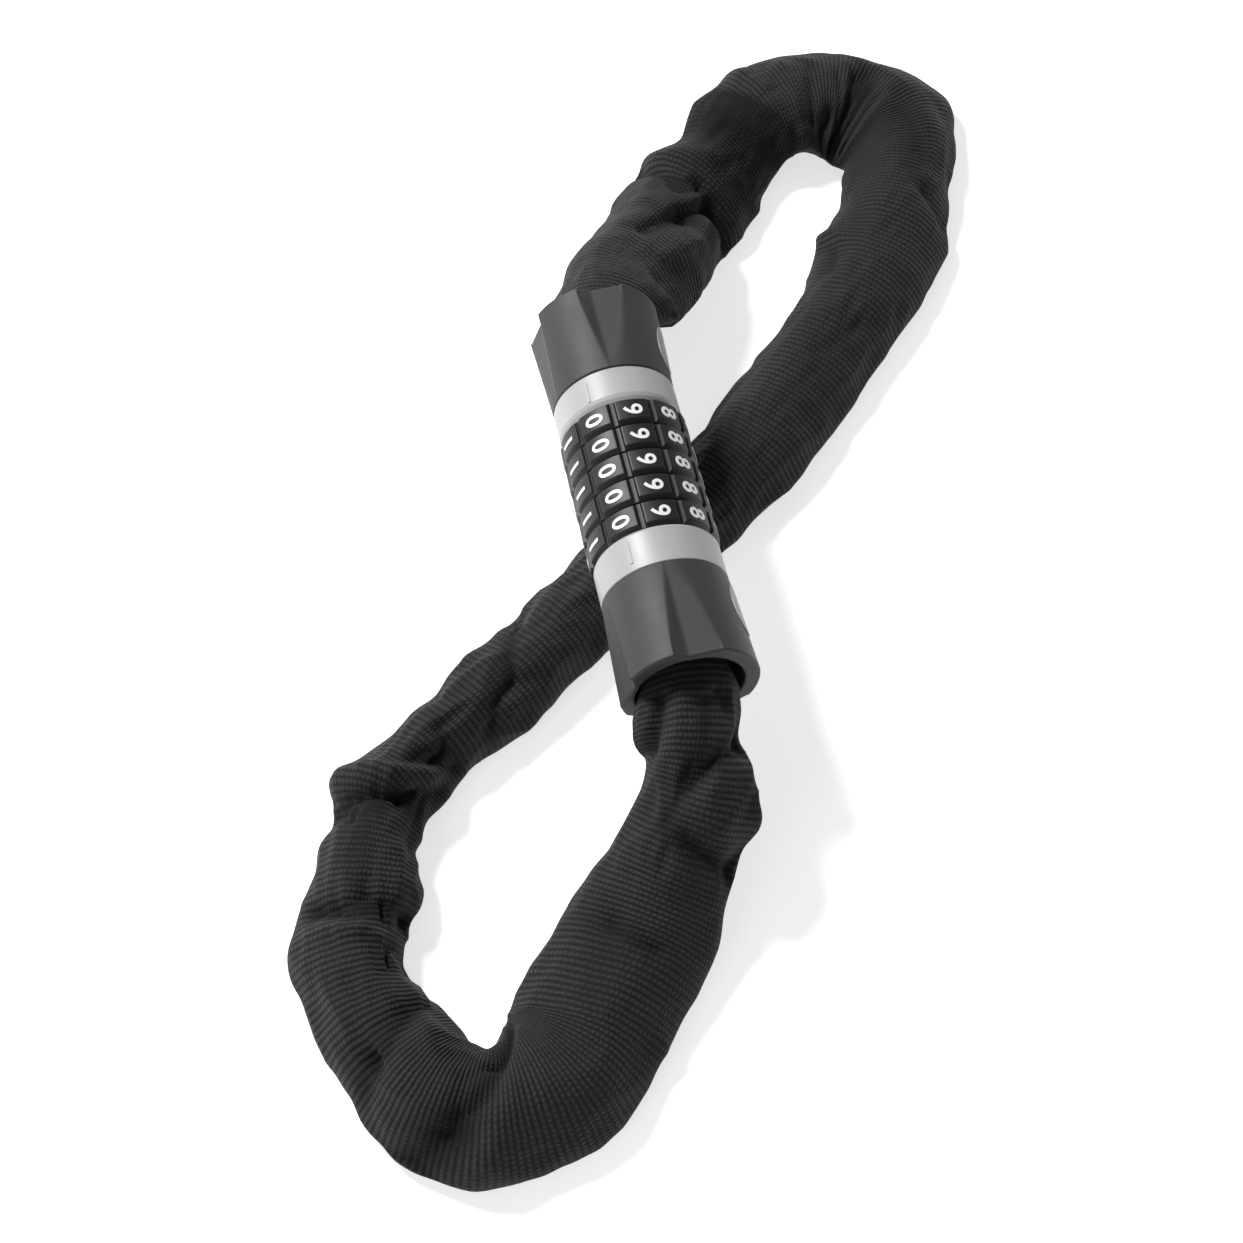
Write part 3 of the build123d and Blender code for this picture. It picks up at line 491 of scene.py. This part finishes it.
def fold_heights(along, across):
    """The sum of all creases and ridges at each point of the sleeve's upper side."""
    total = np.zeros(np.broadcast(along, across).shape)
    for s0, u0, s1, u1, height, width in FOLDS:
        ds, du = s1 - s0, u1 - u0
        t = ((along - s0) * ds + (across - u0) * du) / (ds * ds + du * du)
        t = np.clip(t, 0, 1)
        gap = np.hypot(along - s0 - t * ds, across - u0 - t * du)
        total += height * np.exp(-(gap / width) ** 1.6)
    return total


def ripple(points, scale, seed):
    """Smooth random numbers, about -1 to 1, at each point."""
    shift = Vector((seed * 17.3, seed * 5.1, seed * 9.7))
    return np.array([noise.noise(Vector(p) / scale + shift) for p in points])


def line_tree(line):
    """The points of the sleeve's line, ready to be asked which is nearest to a place."""
    tree = kdtree.KDTree(len(line))
    for i, place in enumerate(line):
        tree.insert(place, i)
    tree.balance()
    return tree


def chain_points():
    """Points all over the chain inside the sleeve, long straight edges included."""
    found = []
    for name, node in frame["nodes"].items():
        if not (name.startswith("chain_links") or name.endswith("end_link")):
            continue
        turn = np.array(node.matrix_world.to_3x3()).T
        points = (get_points(node.data) @ turn + np.array(node.matrix_world.translation)) / MM
        edges = np.empty(len(node.data.edges) * 2, int)
        node.data.edges.foreach_get("vertices", edges)
        start, end = points[edges[0::2]], points[edges[1::2]]
        long = np.linalg.norm(end - start, axis=1) > 1
        found.append(points)
        for share in np.linspace(0.1, 0.9, 9):
            found.append(start[long] * (1 - share) + end[long] * share)
    found = np.concatenate(found)
    _, keep = np.unique(np.rint(found / LINK_GRID), axis=0, return_index=True)
    return found[keep]


def cover_chain(points, line):
    """Lifts the fabric wherever a link would still show through it."""
    tree = line_tree(line)
    nearest, furthest = LINK_REACH
    rays = []
    for link in chain_points():
        centre, ring, gap = tree.find(link)
        if END_RINGS < ring < RINGS - END_RINGS and nearest < gap < furthest:
            rays.append((centre, (Vector(link) - centre) / gap, gap))
    faces = [(i * AROUND + j, i * AROUND + (j + 1) % AROUND,
              (i + 1) * AROUND + (j + 1) % AROUND, (i + 1) * AROUND + j)
             for i in range(RINGS - 1) for j in range(AROUND)]
    for _ in range(LIFT_PASSES):
        flat = points.reshape(-1, 3)
        surface = bvhtree.BVHTree.FromPolygons(flat.tolist(), faces)
        lift = np.zeros_like(flat)
        short = np.zeros(len(flat))
        for centre, way, gap in rays:
            spot, _, face, distance = surface.ray_cast(centre, way, RAY_LENGTH)
            if spot is None or distance > gap + CHAIN_COVER:
                continue
            push = gap + CHAIN_COVER - distance
            for i in faces[face]:
                if push > short[i]:
                    short[i] = push
                    lift[i] = way * push
        lift = lift.reshape(points.shape)
        for _ in range(2):
            spread = lift.copy()
            for shift in (-1, 1):
                spread += LIFT_SPREAD * np.roll(lift, shift, 1)
                spread[1:-1] += LIFT_SPREAD * lift[1 + shift:RINGS - 1 + shift]
            softer = spread / 3
            larger = np.linalg.norm(softer, axis=2) > np.linalg.norm(lift, axis=2)
            lift = np.where(larger[..., None], softer, lift)
        points = points + lift
    return points


def chain_reach(line, forward, left, up):
    """How far the chain inside reaches from the line, for every ring and direction."""
    points = chain_points()
    tree = line_tree(line)
    ring = np.array([tree.find(point)[1] for point in points])
    offset = points - line[ring]
    near = np.abs(np.sum(offset * forward[ring], 1)) < SLICE_HALF
    ring, offset = ring[near], offset[near]
    side = np.sum(offset * left[ring], 1)
    rise = np.sum(offset * up[ring], 1)
    turn = np.rint(np.arctan2(rise, side) / (2 * np.pi) * AROUND).astype(int) % AROUND
    reach = np.zeros((RINGS, AROUND))
    np.maximum.at(reach, (ring, turn), np.hypot(side, rise))
    for step in (1, 2, 3):
        reach = np.maximum.reduce([reach, np.roll(reach, step, 1), np.roll(reach, -step, 1)])
        reach[1:] = np.maximum(reach[1:], reach[:-1])
        reach[:-1] = np.maximum(reach[:-1], reach[1:])
    return reach


def sleeve_rings(line, length):
    """Points round every ring of the sleeve, the painted shade of its creases and of the shaded stretch
    beside the plug, and distances for the weave.
    """
    along = np.linspace(0, length, RINGS)
    forward = np.gradient(line, axis=0)
    forward /= np.linalg.norm(forward, axis=1)[:, None]
    left = np.cross((0, 0, 1), forward)
    left /= np.linalg.norm(left, axis=1)[:, None]
    up = np.cross(forward, left)
    reach_in = chain_reach(line, forward, left, up)
    flat_left, flat_up = left, up
    roll = np.radians(keyed(along, ROLL, 1, 15))[:, None]
    left, up = (left * np.cos(roll) + up * np.sin(roll),
                up * np.cos(roll) - left * np.sin(roll))

    turn = np.linspace(0, 2 * np.pi, AROUND, endpoint=False)[None, :]
    half_left = keyed(along, WIDTHS, 1)[:, None]
    half_right = keyed(along, WIDTHS, 2)[:, None]
    top = keyed(along, THICKNESS, 1)[:, None]
    bottom = keyed(along, THICKNESS, 2)[:, None]
    hang = keyed(along, THICKNESS, 3)[:, None]
    reach = np.where(np.cos(turn) > 0, half_left, half_right)
    across = reach * np.cos(turn)
    flat = smooth(np.maximum(half_left, half_right), *FLAT_WIDTH)
    power = 1 + 0.25 * flat
    rise = np.where(np.sin(turn) > 0, top, bottom) * np.sign(np.sin(turn))
    rise = rise * np.abs(np.sin(turn)) ** power - hang * np.cos(turn) ** 2

    middle = line[:, None, :]
    points = middle + across[..., None] * left[:, None, :] + rise[..., None] * up[:, None, :]

    # Creases go in along the surface's own direction, and fade out towards the underside.
    ring_way = np.roll(points, -1, axis=1) - np.roll(points, 1, axis=1)
    run_way = np.gradient(points, axis=0)
    outward = np.cross(run_way, ring_way)
    outward /= np.linalg.norm(outward, axis=2)[..., None]
    if np.sum(outward[RINGS // 2, AROUND // 4] * up[RINGS // 2]) < 0:
        outward = -outward
    fade_from, fade_to = FREE_END
    free = smooth(along, *FREE_START) * (1 - smooth(along, length - fade_from, length - fade_to))
    free = free[:, None]
    upper = smooth(np.sin(turn), -0.25, 0.3)
    folds = fold_heights(along[:, None], across) * upper * free
    flat_points = points.reshape(-1, 3)
    broad = ripple(flat_points, BROAD_RIPPLE, 1).reshape(RINGS, AROUND)
    mid = ripple(flat_points, MID_RIPPLE, 2).reshape(RINGS, AROUND)
    stretched = np.stack([across / PLEAT_ACROSS,
                          np.broadcast_to(along[:, None] / PLEAT_ALONG, across.shape),
                          np.broadcast_to(np.sin(turn), across.shape)], -1)
    pleat = ripple(stretched.reshape(-1, 3), 1.0, 3).reshape(RINGS, AROUND)
    pleat = 1 - 2 * np.abs(pleat)
    narrow = 1 - smooth(half_left + half_right, *NARROW_WIDTH)
    wrinkles = (broad + 0.42 * mid + (0.35 + 0.6 * narrow) * (pleat - 0.6)) * free
    points = points + outward * (folds + wrinkles)[..., None]

    # The fabric lies over the chain, never inside it.
    offset = points - middle
    side = np.sum(offset * flat_left[:, None, :], 2)
    lift = np.sum(offset * flat_up[:, None, :], 2)
    ahead = np.sum(offset * forward[:, None, :], 2)
    radius = np.hypot(side, lift)
    bins = np.rint(np.arctan2(lift, side) / (2 * np.pi) * AROUND).astype(int) % AROUND
    least = (reach_in[np.arange(RINGS)[:, None], bins] + CHAIN_COVER) * free
    grow = (np.maximum(radius, least) / np.maximum(radius, 1e-6))[..., None]
    points = (middle + side[..., None] * grow * flat_left[:, None, :]
              + lift[..., None] * grow * flat_up[:, None, :]
              + ahead[..., None] * forward[:, None, :])

    on_table = TABLE_LIFT + 0.25 * (1 + mid)
    points[..., 2] = np.maximum(points[..., 2], on_table)

    # Painted shade: creases are painted darker the deeper they go, and the shaded stretch beside the plug is
    # painted dark as a shadow.
    shadow_stretch_edge = along[:, None] + 0.35 * across
    painted_shadow_stretch = smooth(along[:, None] - 0.4 * across, 106, 128) * (1 - smooth(shadow_stretch_edge, 147, 150))
    painted_shade = np.clip(np.maximum(-folds / FOLD_DEPTH_FULL_SHADE, painted_shadow_stretch), 0, 1) * PAINTED_SHADE_DARKEST
    steps = np.linalg.norm(np.diff(points, axis=0), axis=2)
    cloth = np.concatenate([[0], np.cumsum(np.percentile(steps, 80, axis=1))])
    return points, painted_shade, along, cloth


def plug_share(along):
    """How much of the plug's movement the cord follows, along its length."""
    return 1 - smooth(along, *GATHER)


def separate_centres(mesh):
    """The middle of each separate piece of a mesh, in millimetres."""
    shape = bmesh.new()
    shape.from_mesh(mesh)
    bmesh.ops.remove_doubles(shape, verts=shape.verts, dist=1e-6)
    shape.verts.ensure_lookup_table()
    centres, seen = [], set()
    for vert in shape.verts:
        if vert.index in seen:
            continue
        seen.add(vert.index)
        piece, waiting = [], [vert]
        while waiting:
            here = waiting.pop()
            piece.append(here.co)
            for edge in here.link_edges:
                other = edge.other_vert(here)
                if other.index not in seen:
                    seen.add(other.index)
                    waiting.append(other)
        centres.append(np.array(piece).mean(0) / MM)
    shape.free()
    return np.array(centres)


def build_links(line, length):
    """The links next to the plug, which gather inside the sleeve as the plug slides."""
    node = frame["nodes"]["chain_links_plug_run"]
    mesh = node.data.copy()
    mesh.transform(node.matrix_world)
    links = add_object("gathering_links", mesh, CHAIN_STEEL)
    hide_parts("chain_links_plug_run")
    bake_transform(links, "lock_body", "plug", start=line[100] * MM, end=line[0] * MM)
    points = get_points(mesh) / MM
    centres = separate_centres(mesh)
    # Each point takes the share of the link centre nearest to it. The middle of a link moves as
    # one, and its ends move with the links beside it.
    along = np.linspace(0, length, RINGS)
    ring = [np.argmin(np.linalg.norm(line - centre, axis=1)) for centre in centres]
    nearest = np.argmin(np.linalg.norm(points[:, None] - centres[None], axis=2), axis=1)
    shares = plug_share(along[np.array(ring)])[nearest]
    mesh.attributes["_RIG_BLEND"].data.foreach_set("value", shares.astype(np.float32))


def build_sleeve():
    line, length = sleeve_line()
    points, painted_shade, along, cloth = sleeve_rings(line, length)
    points = cover_chain(points, line)
    shape = bmesh.new()
    column, row = grid_places(shape, AROUND, RINGS - 1)
    mesh = bpy.data.meshes.new("sleeve")
    weave = shape.loops.layers.uv.new("weave")
    for face in shape.faces:
        face.smooth = True
        for loop in face.loops:
            i = loop.vert.index
            loop[weave].uv = (column[i] / AROUND * CLOTH_ROUND * MM, cloth[row[i]] * MM)
    place = points[row, column % AROUND] * MM
    for vert, spot in zip(shape.verts, place):
        vert.co = spot
    # Painted shade of the creases and of the shaded stretch, kept for the fabric's colour.
    painted_shade_layer = shape.verts.layers.float.new("painted_fold_shade")
    share_layer = shape.verts.layers.float.new("plug_share")
    painted_shades = painted_shade[row, column % AROUND]
    shares = plug_share(along)[row]
    for vert, painted_shade_value, share in zip(shape.verts, painted_shades, shares):
        vert[painted_shade_layer] = painted_shade_value
        vert[share_layer] = share
    bmesh.ops.remove_doubles(shape, verts=shape.verts, dist=1e-6)
    open_edges = [edge for edge in shape.edges if edge.is_boundary]
    bmesh.ops.holes_fill(shape, edges=open_edges, sides=0)
    bmesh.ops.recalc_face_normals(shape, faces=shape.faces)
    shape.to_mesh(mesh)
    shape.free()
    sleeve = add_object("sleeve", mesh, FABRIC)
    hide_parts(*[name for name in frame["nodes"] if name.startswith("sleeve_")])
    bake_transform(sleeve, "lock_body", "plug", start=line[100] * MM, end=line[0] * MM)
    shares = np.empty(len(mesh.vertices), np.float32)
    mesh.attributes["plug_share"].data.foreach_get("value", shares)
    mesh.attributes["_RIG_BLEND"].data.foreach_set("value", shares)
    build_links(line, length)


build_sleeve()


# --- end caps ------------------------------------------------------------------------------------

CAP_SEAM_RADIUS = 18.5
CAP_RIM_RADIUS = 20.0
CAP_BORE_RADIUS = 12.06
CAP_TURN_STEPS = 540
SEAM_CHAMFER = 0.35
RIM_ROUND = 0.9
LIP_ROUND = 0.6
FLUTE_DEPTH = 2.7
FLUTE_BLEND = 0.35        # rounding of the ridges between the flutes
MOUTH_RADIUS = 15.5
THROAT = (14.6, 14.0)     # radius and height of the foot of the funnel, where the bore begins
FLUTES = ((76.0, 45.0, 88.5), (142.0, 173.0, 129.5))   # angles of valley, facet and step


def flute_outline():
    """Radius of the fluted section at the rim for every half degree from the badge."""
    angles = np.arange(0, 360, 0.5)
    turn = np.radians(angles)
    radius = np.full(len(angles), CAP_RIM_RADIUS + 3.0)
    bottom = CAP_RIM_RADIUS - FLUTE_DEPTH
    for side in (1, -1):
        for valley, facet, step in FLUTES:
            for far in (facet, step):
                a, b = np.radians(side * valley), np.radians(side * far)
                start = np.array((bottom * np.cos(a), bottom * np.sin(a)))
                end = np.array((CAP_RIM_RADIUS * np.cos(b), CAP_RIM_RADIUS * np.sin(b)))
                normal = np.array((end[1] - start[1], start[0] - end[0]))
                reach = (start @ normal) / (np.cos(turn) * normal[0] + np.sin(turn) * normal[1])
                share = (turn - a) * side
                share = (share + np.pi) % (2 * np.pi) - np.pi
                width = (b - a) * side
                inside = (share * np.sign(width) >= -0.001) & (np.abs(share) <= abs(width))
                radius = np.where(inside & (reach > 0), np.minimum(radius, reach), radius)
    return angles, radius


def soft_min(a, b, blend):
    """The smaller of two numbers, with the corner between them rounded."""
    share = np.clip(0.5 + 0.5 * (b - a) / blend, 0, 1)
    return b * (1 - share) + a * share - blend * share * (1 - share)


def build_cap(name):
    """Fluted cap, with soft ridges, a rounded rim and a funnelled mouth."""
    edge, lip = RIM_ROUND, LIP_ROUND
    slope = CAP_RIM_RADIUS - CAP_SEAM_RADIUS
    outer = between((CAP_SEAM_RADIUS - SEAM_CHAMFER, 0), (CAP_SEAM_RADIUS, SEAM_CHAMFER),
                    (CAP_SEAM_RADIUS + slope * 0.97, CAP_LENGTH - edge), spacing=0.9)
    corner = [(CAP_RIM_RADIUS - edge + edge * math.cos(t), CAP_LENGTH - edge + edge * math.sin(t))
              for t in np.linspace(0.15, math.pi / 2, 6)]
    mouth = [(MOUTH_RADIUS + lip - lip * math.sin(t), CAP_LENGTH - lip + lip * math.cos(t))
             for t in np.linspace(0.1, math.pi / 2, 5)]
    rim = between(corner[-1], mouth[0], spacing=0.5)[1:-1]
    wall = between((MOUTH_RADIUS, CAP_LENGTH - lip - 0.01), THROAT, (CAP_BORE_RADIUS, THROAT[1]),
                   (CAP_BORE_RADIUS, 0.0), spacing=1.5)
    mesh = turned(name, outer + corner + rim + mouth + wall, CAP_TURN_STEPS)
    radius, along, angle = round_places(get_points(mesh))
    angles, outline = flute_outline()
    outline = smoothed(outline, 13, "wrap")
    share = np.clip(along / CAP_LENGTH, 0, 1)
    cut = np.interp(angle % 360, angles, outline, period=360)
    cut = cut + (CAP_SEAM_RADIUS + 0.1 - (CAP_RIM_RADIUS - FLUTE_DEPTH)) * (1 - share)
    envelope = CAP_SEAM_RADIUS + slope * share
    drop = envelope - soft_min(envelope, cut, FLUTE_BLEND)
    outside = smooth(radius, MOUTH_RADIUS + 0.8, CAP_RIM_RADIUS - 1.5)
    outside = np.where(along < 0.36, smooth(radius, 17.5, 18.1), outside)
    radius = radius - drop * outside
    turn = np.radians(angle + BADGE_ANGLE)
    seam = SEAMS[name.split("_")[0]]
    direction = 1 if seam > 0 else -1
    placed = around_barrel(radius, np.degrees(turn), seam + direction * along)
    set_points(mesh, placed * MM)
    face_outwards(mesh)
    shade_by_angle(mesh, 38)
    cap = add_object("shaped_" + name, mesh, CAP_PLASTIC)
    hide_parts(name)
    return cap


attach(build_cap("plug_cap"), "plug")
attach(build_cap("body_cap"), "lock_body")


# --- dials and digits ------------------------------------------------------------------------------

DIAL_PITCH = 9.1
DIAL_RADIUS = 19.1
DIAL_HALF = 4.35
DIAL_BORE_RADIUS = 12.15
DIAL_TURN_STEPS = 540
DIAL_CHAMFER = 0.2
DIGIT_TURN = 36           # degrees from one digit to the next
GROOVE_DEPTH = 1.15
GROOVE_HALF = 0.62        # half width of the groove between two pads
PAD_SIDE = 0.62           # width of the bevel along each side of a pad
PAD_MARGIN = 0.22         # from the dial's edge to the pad
PAD_FAR, PAD_NEAR = 0.6, 1.1           # widths of the bevels at its two ends
PAD_ROUND, PAD_TOP_ROUND = 0.25, 0.22  # rounding between the bevels and at the top
PAD_TOP = 0.945           # height that the rounding leaves, which counts as full
PAD_CROWN = 0.12
DIGIT_HEIGHT = 5.7
DIGIT_WIDTH = 4.1
FONT_SHAPE = 0.70         # width over height of a digit as the font draws it
FONT_BOLD = 0.017
DIGIT_LIFT = 0.03
DIGIT_TOP, DIGIT_ROOT = 0.05, -0.12    # faces of a digit, above and below the pad
DIGIT_SHIFT = 0.15        # towards the body's end of the pad


def dial_place(i):
    return DIAL_PITCH * (2 - i)


def build_dial(i):
    """Dial with ten raised, bevelled pads."""
    low = DIAL_RADIUS - GROOVE_DEPTH
    cut = DIAL_CHAMFER
    profile = between((DIAL_BORE_RADIUS, -DIAL_HALF), (low - cut, -DIAL_HALF), spacing=3)
    profile += between((low, -DIAL_HALF + cut), (low, DIAL_HALF - cut), spacing=0.2)
    profile += between((low - cut, DIAL_HALF), (DIAL_BORE_RADIUS, DIAL_HALF), spacing=3)
    mesh = turned(f"shaped_dial_{i + 1}", profile, DIAL_TURN_STEPS)
    radius, along, angle = round_places(get_points(mesh))
    half_turn = DIGIT_TURN / 2
    from_pad = (angle - INDEX_ANGLE + half_turn) % DIGIT_TURN - half_turn
    to_groove = np.radians(half_turn - np.abs(from_pad)) * DIAL_RADIUS
    sides = np.clip((to_groove - GROOVE_HALF) / PAD_SIDE, 0, 1)
    far = np.clip((DIAL_HALF - PAD_MARGIN - along) / PAD_FAR, 0, 1)
    near = np.clip((DIAL_HALF - PAD_MARGIN + along) / PAD_NEAR, 0, 1)
    pad = soft_min(soft_min(sides, far, PAD_ROUND), near, PAD_ROUND)
    pad = soft_min(pad, np.ones(len(pad)), PAD_TOP_ROUND) / PAD_TOP
    crown = PAD_CROWN * np.clip(pad, 0, 1) * (1 - (np.radians(from_pad) * DIAL_RADIUS / 6.0) ** 2)
    rim = radius > low - 0.05
    radius = np.where(rim, low + (GROOVE_DEPTH - 0.08) * np.clip(pad, 0, 1.02) + crown * 0.7,
                      radius)
    placed = around_barrel(radius, angle, dial_place(i) + along)
    set_points(mesh, placed * MM)
    face_outwards(mesh)
    shade_by_angle(mesh, 30)
    dial = add_object(f"shaped_dial_{i + 1}", mesh, DIAL_PLASTIC)
    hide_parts(f"dial_{i + 1}")
    return dial


def digit_mesh(digit):
    """One bold digit, flat and centred, cut into strips so that it can follow a round face."""
    text = bpy.data.curves.new("digit", "FONT")
    text.body = str(digit)
    text.size = 1.0
    text.extrude = 0.02
    text.offset = FONT_BOLD
    text.resolution_u = 6
    holder = bpy.data.objects.new("digit", text)
    bpy.context.scene.collection.objects.link(holder)
    mesh = bpy.data.meshes.new_from_object(holder)
    bpy.data.objects.remove(holder)
    points = get_points(mesh)
    low, high = points.min(0), points.max(0)
    middle = (low + high) / 2
    points = (points - middle) / (high[1] - low[1])
    points[:, 0] *= DIGIT_WIDTH / DIGIT_HEIGHT / FONT_SHAPE
    set_points(mesh, points)
    shape = bmesh.new()
    shape.from_mesh(mesh)
    for cut in np.linspace(-0.45, 0.45, 14):
        bmesh.ops.bisect_plane(shape, geom=shape.verts[:] + shape.edges[:] + shape.faces[:],
                               plane_co=(0, cut, 0), plane_no=(0, 1, 0))
    shape.to_mesh(mesh)
    shape.free()
    return mesh


DIGIT_MESHES = [digit_mesh(digit) for digit in range(10)]


def build_digits(i):
    """The ten printed digits of a dial, standing a little proud of its pads."""
    shape = bmesh.new()
    for digit, flat in enumerate(DIGIT_MESHES):
        first = len(shape.verts)
        shape.from_mesh(flat)
        shape.verts.ensure_lookup_table()
        for vert in shape.verts[first:]:
            rise = math.degrees(vert.co.y * DIGIT_HEIGHT / DIAL_RADIUS)
            angle = INDEX_ANGLE - DIGIT_TURN * digit + rise
            radius = DIAL_RADIUS + DIGIT_LIFT + (DIGIT_TOP if vert.co.z > 0 else DIGIT_ROOT)
            along = dial_place(i) - DIGIT_SHIFT - vert.co.x * DIGIT_HEIGHT
            spot = around_barrel(np.array(radius), np.array(angle), np.array(along))
            vert.co = spot * MM
    bmesh.ops.remove_doubles(shape, verts=shape.verts, dist=1e-6)
    bmesh.ops.recalc_face_normals(shape, faces=shape.faces)
    mesh = bpy.data.meshes.new(f"digits_{i + 1}")
    shape.to_mesh(mesh)
    shape.free()
    return add_object(f"digits_{i + 1}", mesh, DIGIT_PAINT)


for i in range(5):
    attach(build_dial(i), f"dial_{i + 1}")
    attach(build_digits(i), f"dial_{i + 1}")


# --- floor, light and camera -----------------------------------------------------------------------


FLOOR_HALF = 6            # metres, as are all lengths of the studio but the camera's place
FLOOR_WHITE = (0.93, 0.93, 0.93, 1)
FLOOR_GLOW = 0.66
WORLD_LIGHT = 0.2
KEY_POWER, FILL_POWER = 17, 1.2
LENS, SENSOR = 61.98, 36
CAMERA_FROM_BARREL = Vector((-81.06, -351.40, 509.66))
CAMERA_RIGHT = Vector((0.97753, -0.21078, 0))
CAMERA_FORWARD = Vector((0.11164, 0.51777, -0.84821))


def add_area_light(name, place, target, size, power):
    lamp = bpy.data.lights.new(name, "AREA")
    lamp.shape = "DISK"
    lamp.size = size
    lamp.energy = power
    holder = bpy.data.objects.new(name, lamp)
    holder.location = place
    holder.rotation_euler = (Vector(target) - Vector(place)).to_track_quat("-Z", "Y").to_euler()
    bpy.context.scene.collection.objects.link(holder)


def build_studio():
    shape = bmesh.new()
    bmesh.ops.create_grid(shape, x_segments=1, y_segments=1, size=FLOOR_HALF)
    mesh = bpy.data.meshes.new("floor")
    shape.to_mesh(mesh)
    shape.free()
    floor = bpy.data.objects.new("floor", mesh)
    bpy.context.scene.collection.objects.link(floor)
    material = bpy.data.materials.new("white_floor")
    material.use_nodes = True
    shader = material.node_tree.nodes["Principled BSDF"]
    shader.inputs["Base Color"].default_value = FLOOR_WHITE
    shader.inputs["Roughness"].default_value = 0.9
    shader.inputs["Emission Color"].default_value = (1, 1, 1, 1)
    shader.inputs["Emission Strength"].default_value = FLOOR_GLOW
    mesh.materials.append(material)
    world = bpy.data.worlds.new("studio")
    world.use_nodes = True
    background = world.node_tree.nodes["Background"]
    background.inputs["Color"].default_value = (1, 1, 1, 1)
    background.inputs["Strength"].default_value = WORLD_LIGHT
    bpy.context.scene.world = world
    add_area_light("key", (-0.55, 0.55, 0.95), (0, 0, 0), 0.30, KEY_POWER)
    add_area_light("fill", (-0.7, -0.7, 0.6), (0, 0, 0.02), 0.5, FILL_POWER)


def set_view():
    """Plain tones, so that white and black come out as they are."""
    bpy.context.scene.view_settings.view_transform = "Standard"


def build_camera():
    camera = bpy.data.cameras.new("camera")
    camera.sensor_width = SENSOR
    camera.lens = LENS
    camera.clip_start, camera.clip_end = 0.01, 10
    holder = bpy.data.objects.new("camera", camera)
    up = CAMERA_RIGHT.cross(CAMERA_FORWARD)
    turn = Matrix((CAMERA_RIGHT, up, -CAMERA_FORWARD)).transposed()
    place = (BARREL + CAMERA_FROM_BARREL) * MM
    holder.matrix_world = Matrix.Translation(place) @ turn.to_4x4()
    bpy.context.scene.collection.objects.link(holder)
    bpy.context.scene.camera = holder


build_studio()
build_camera()
set_view()
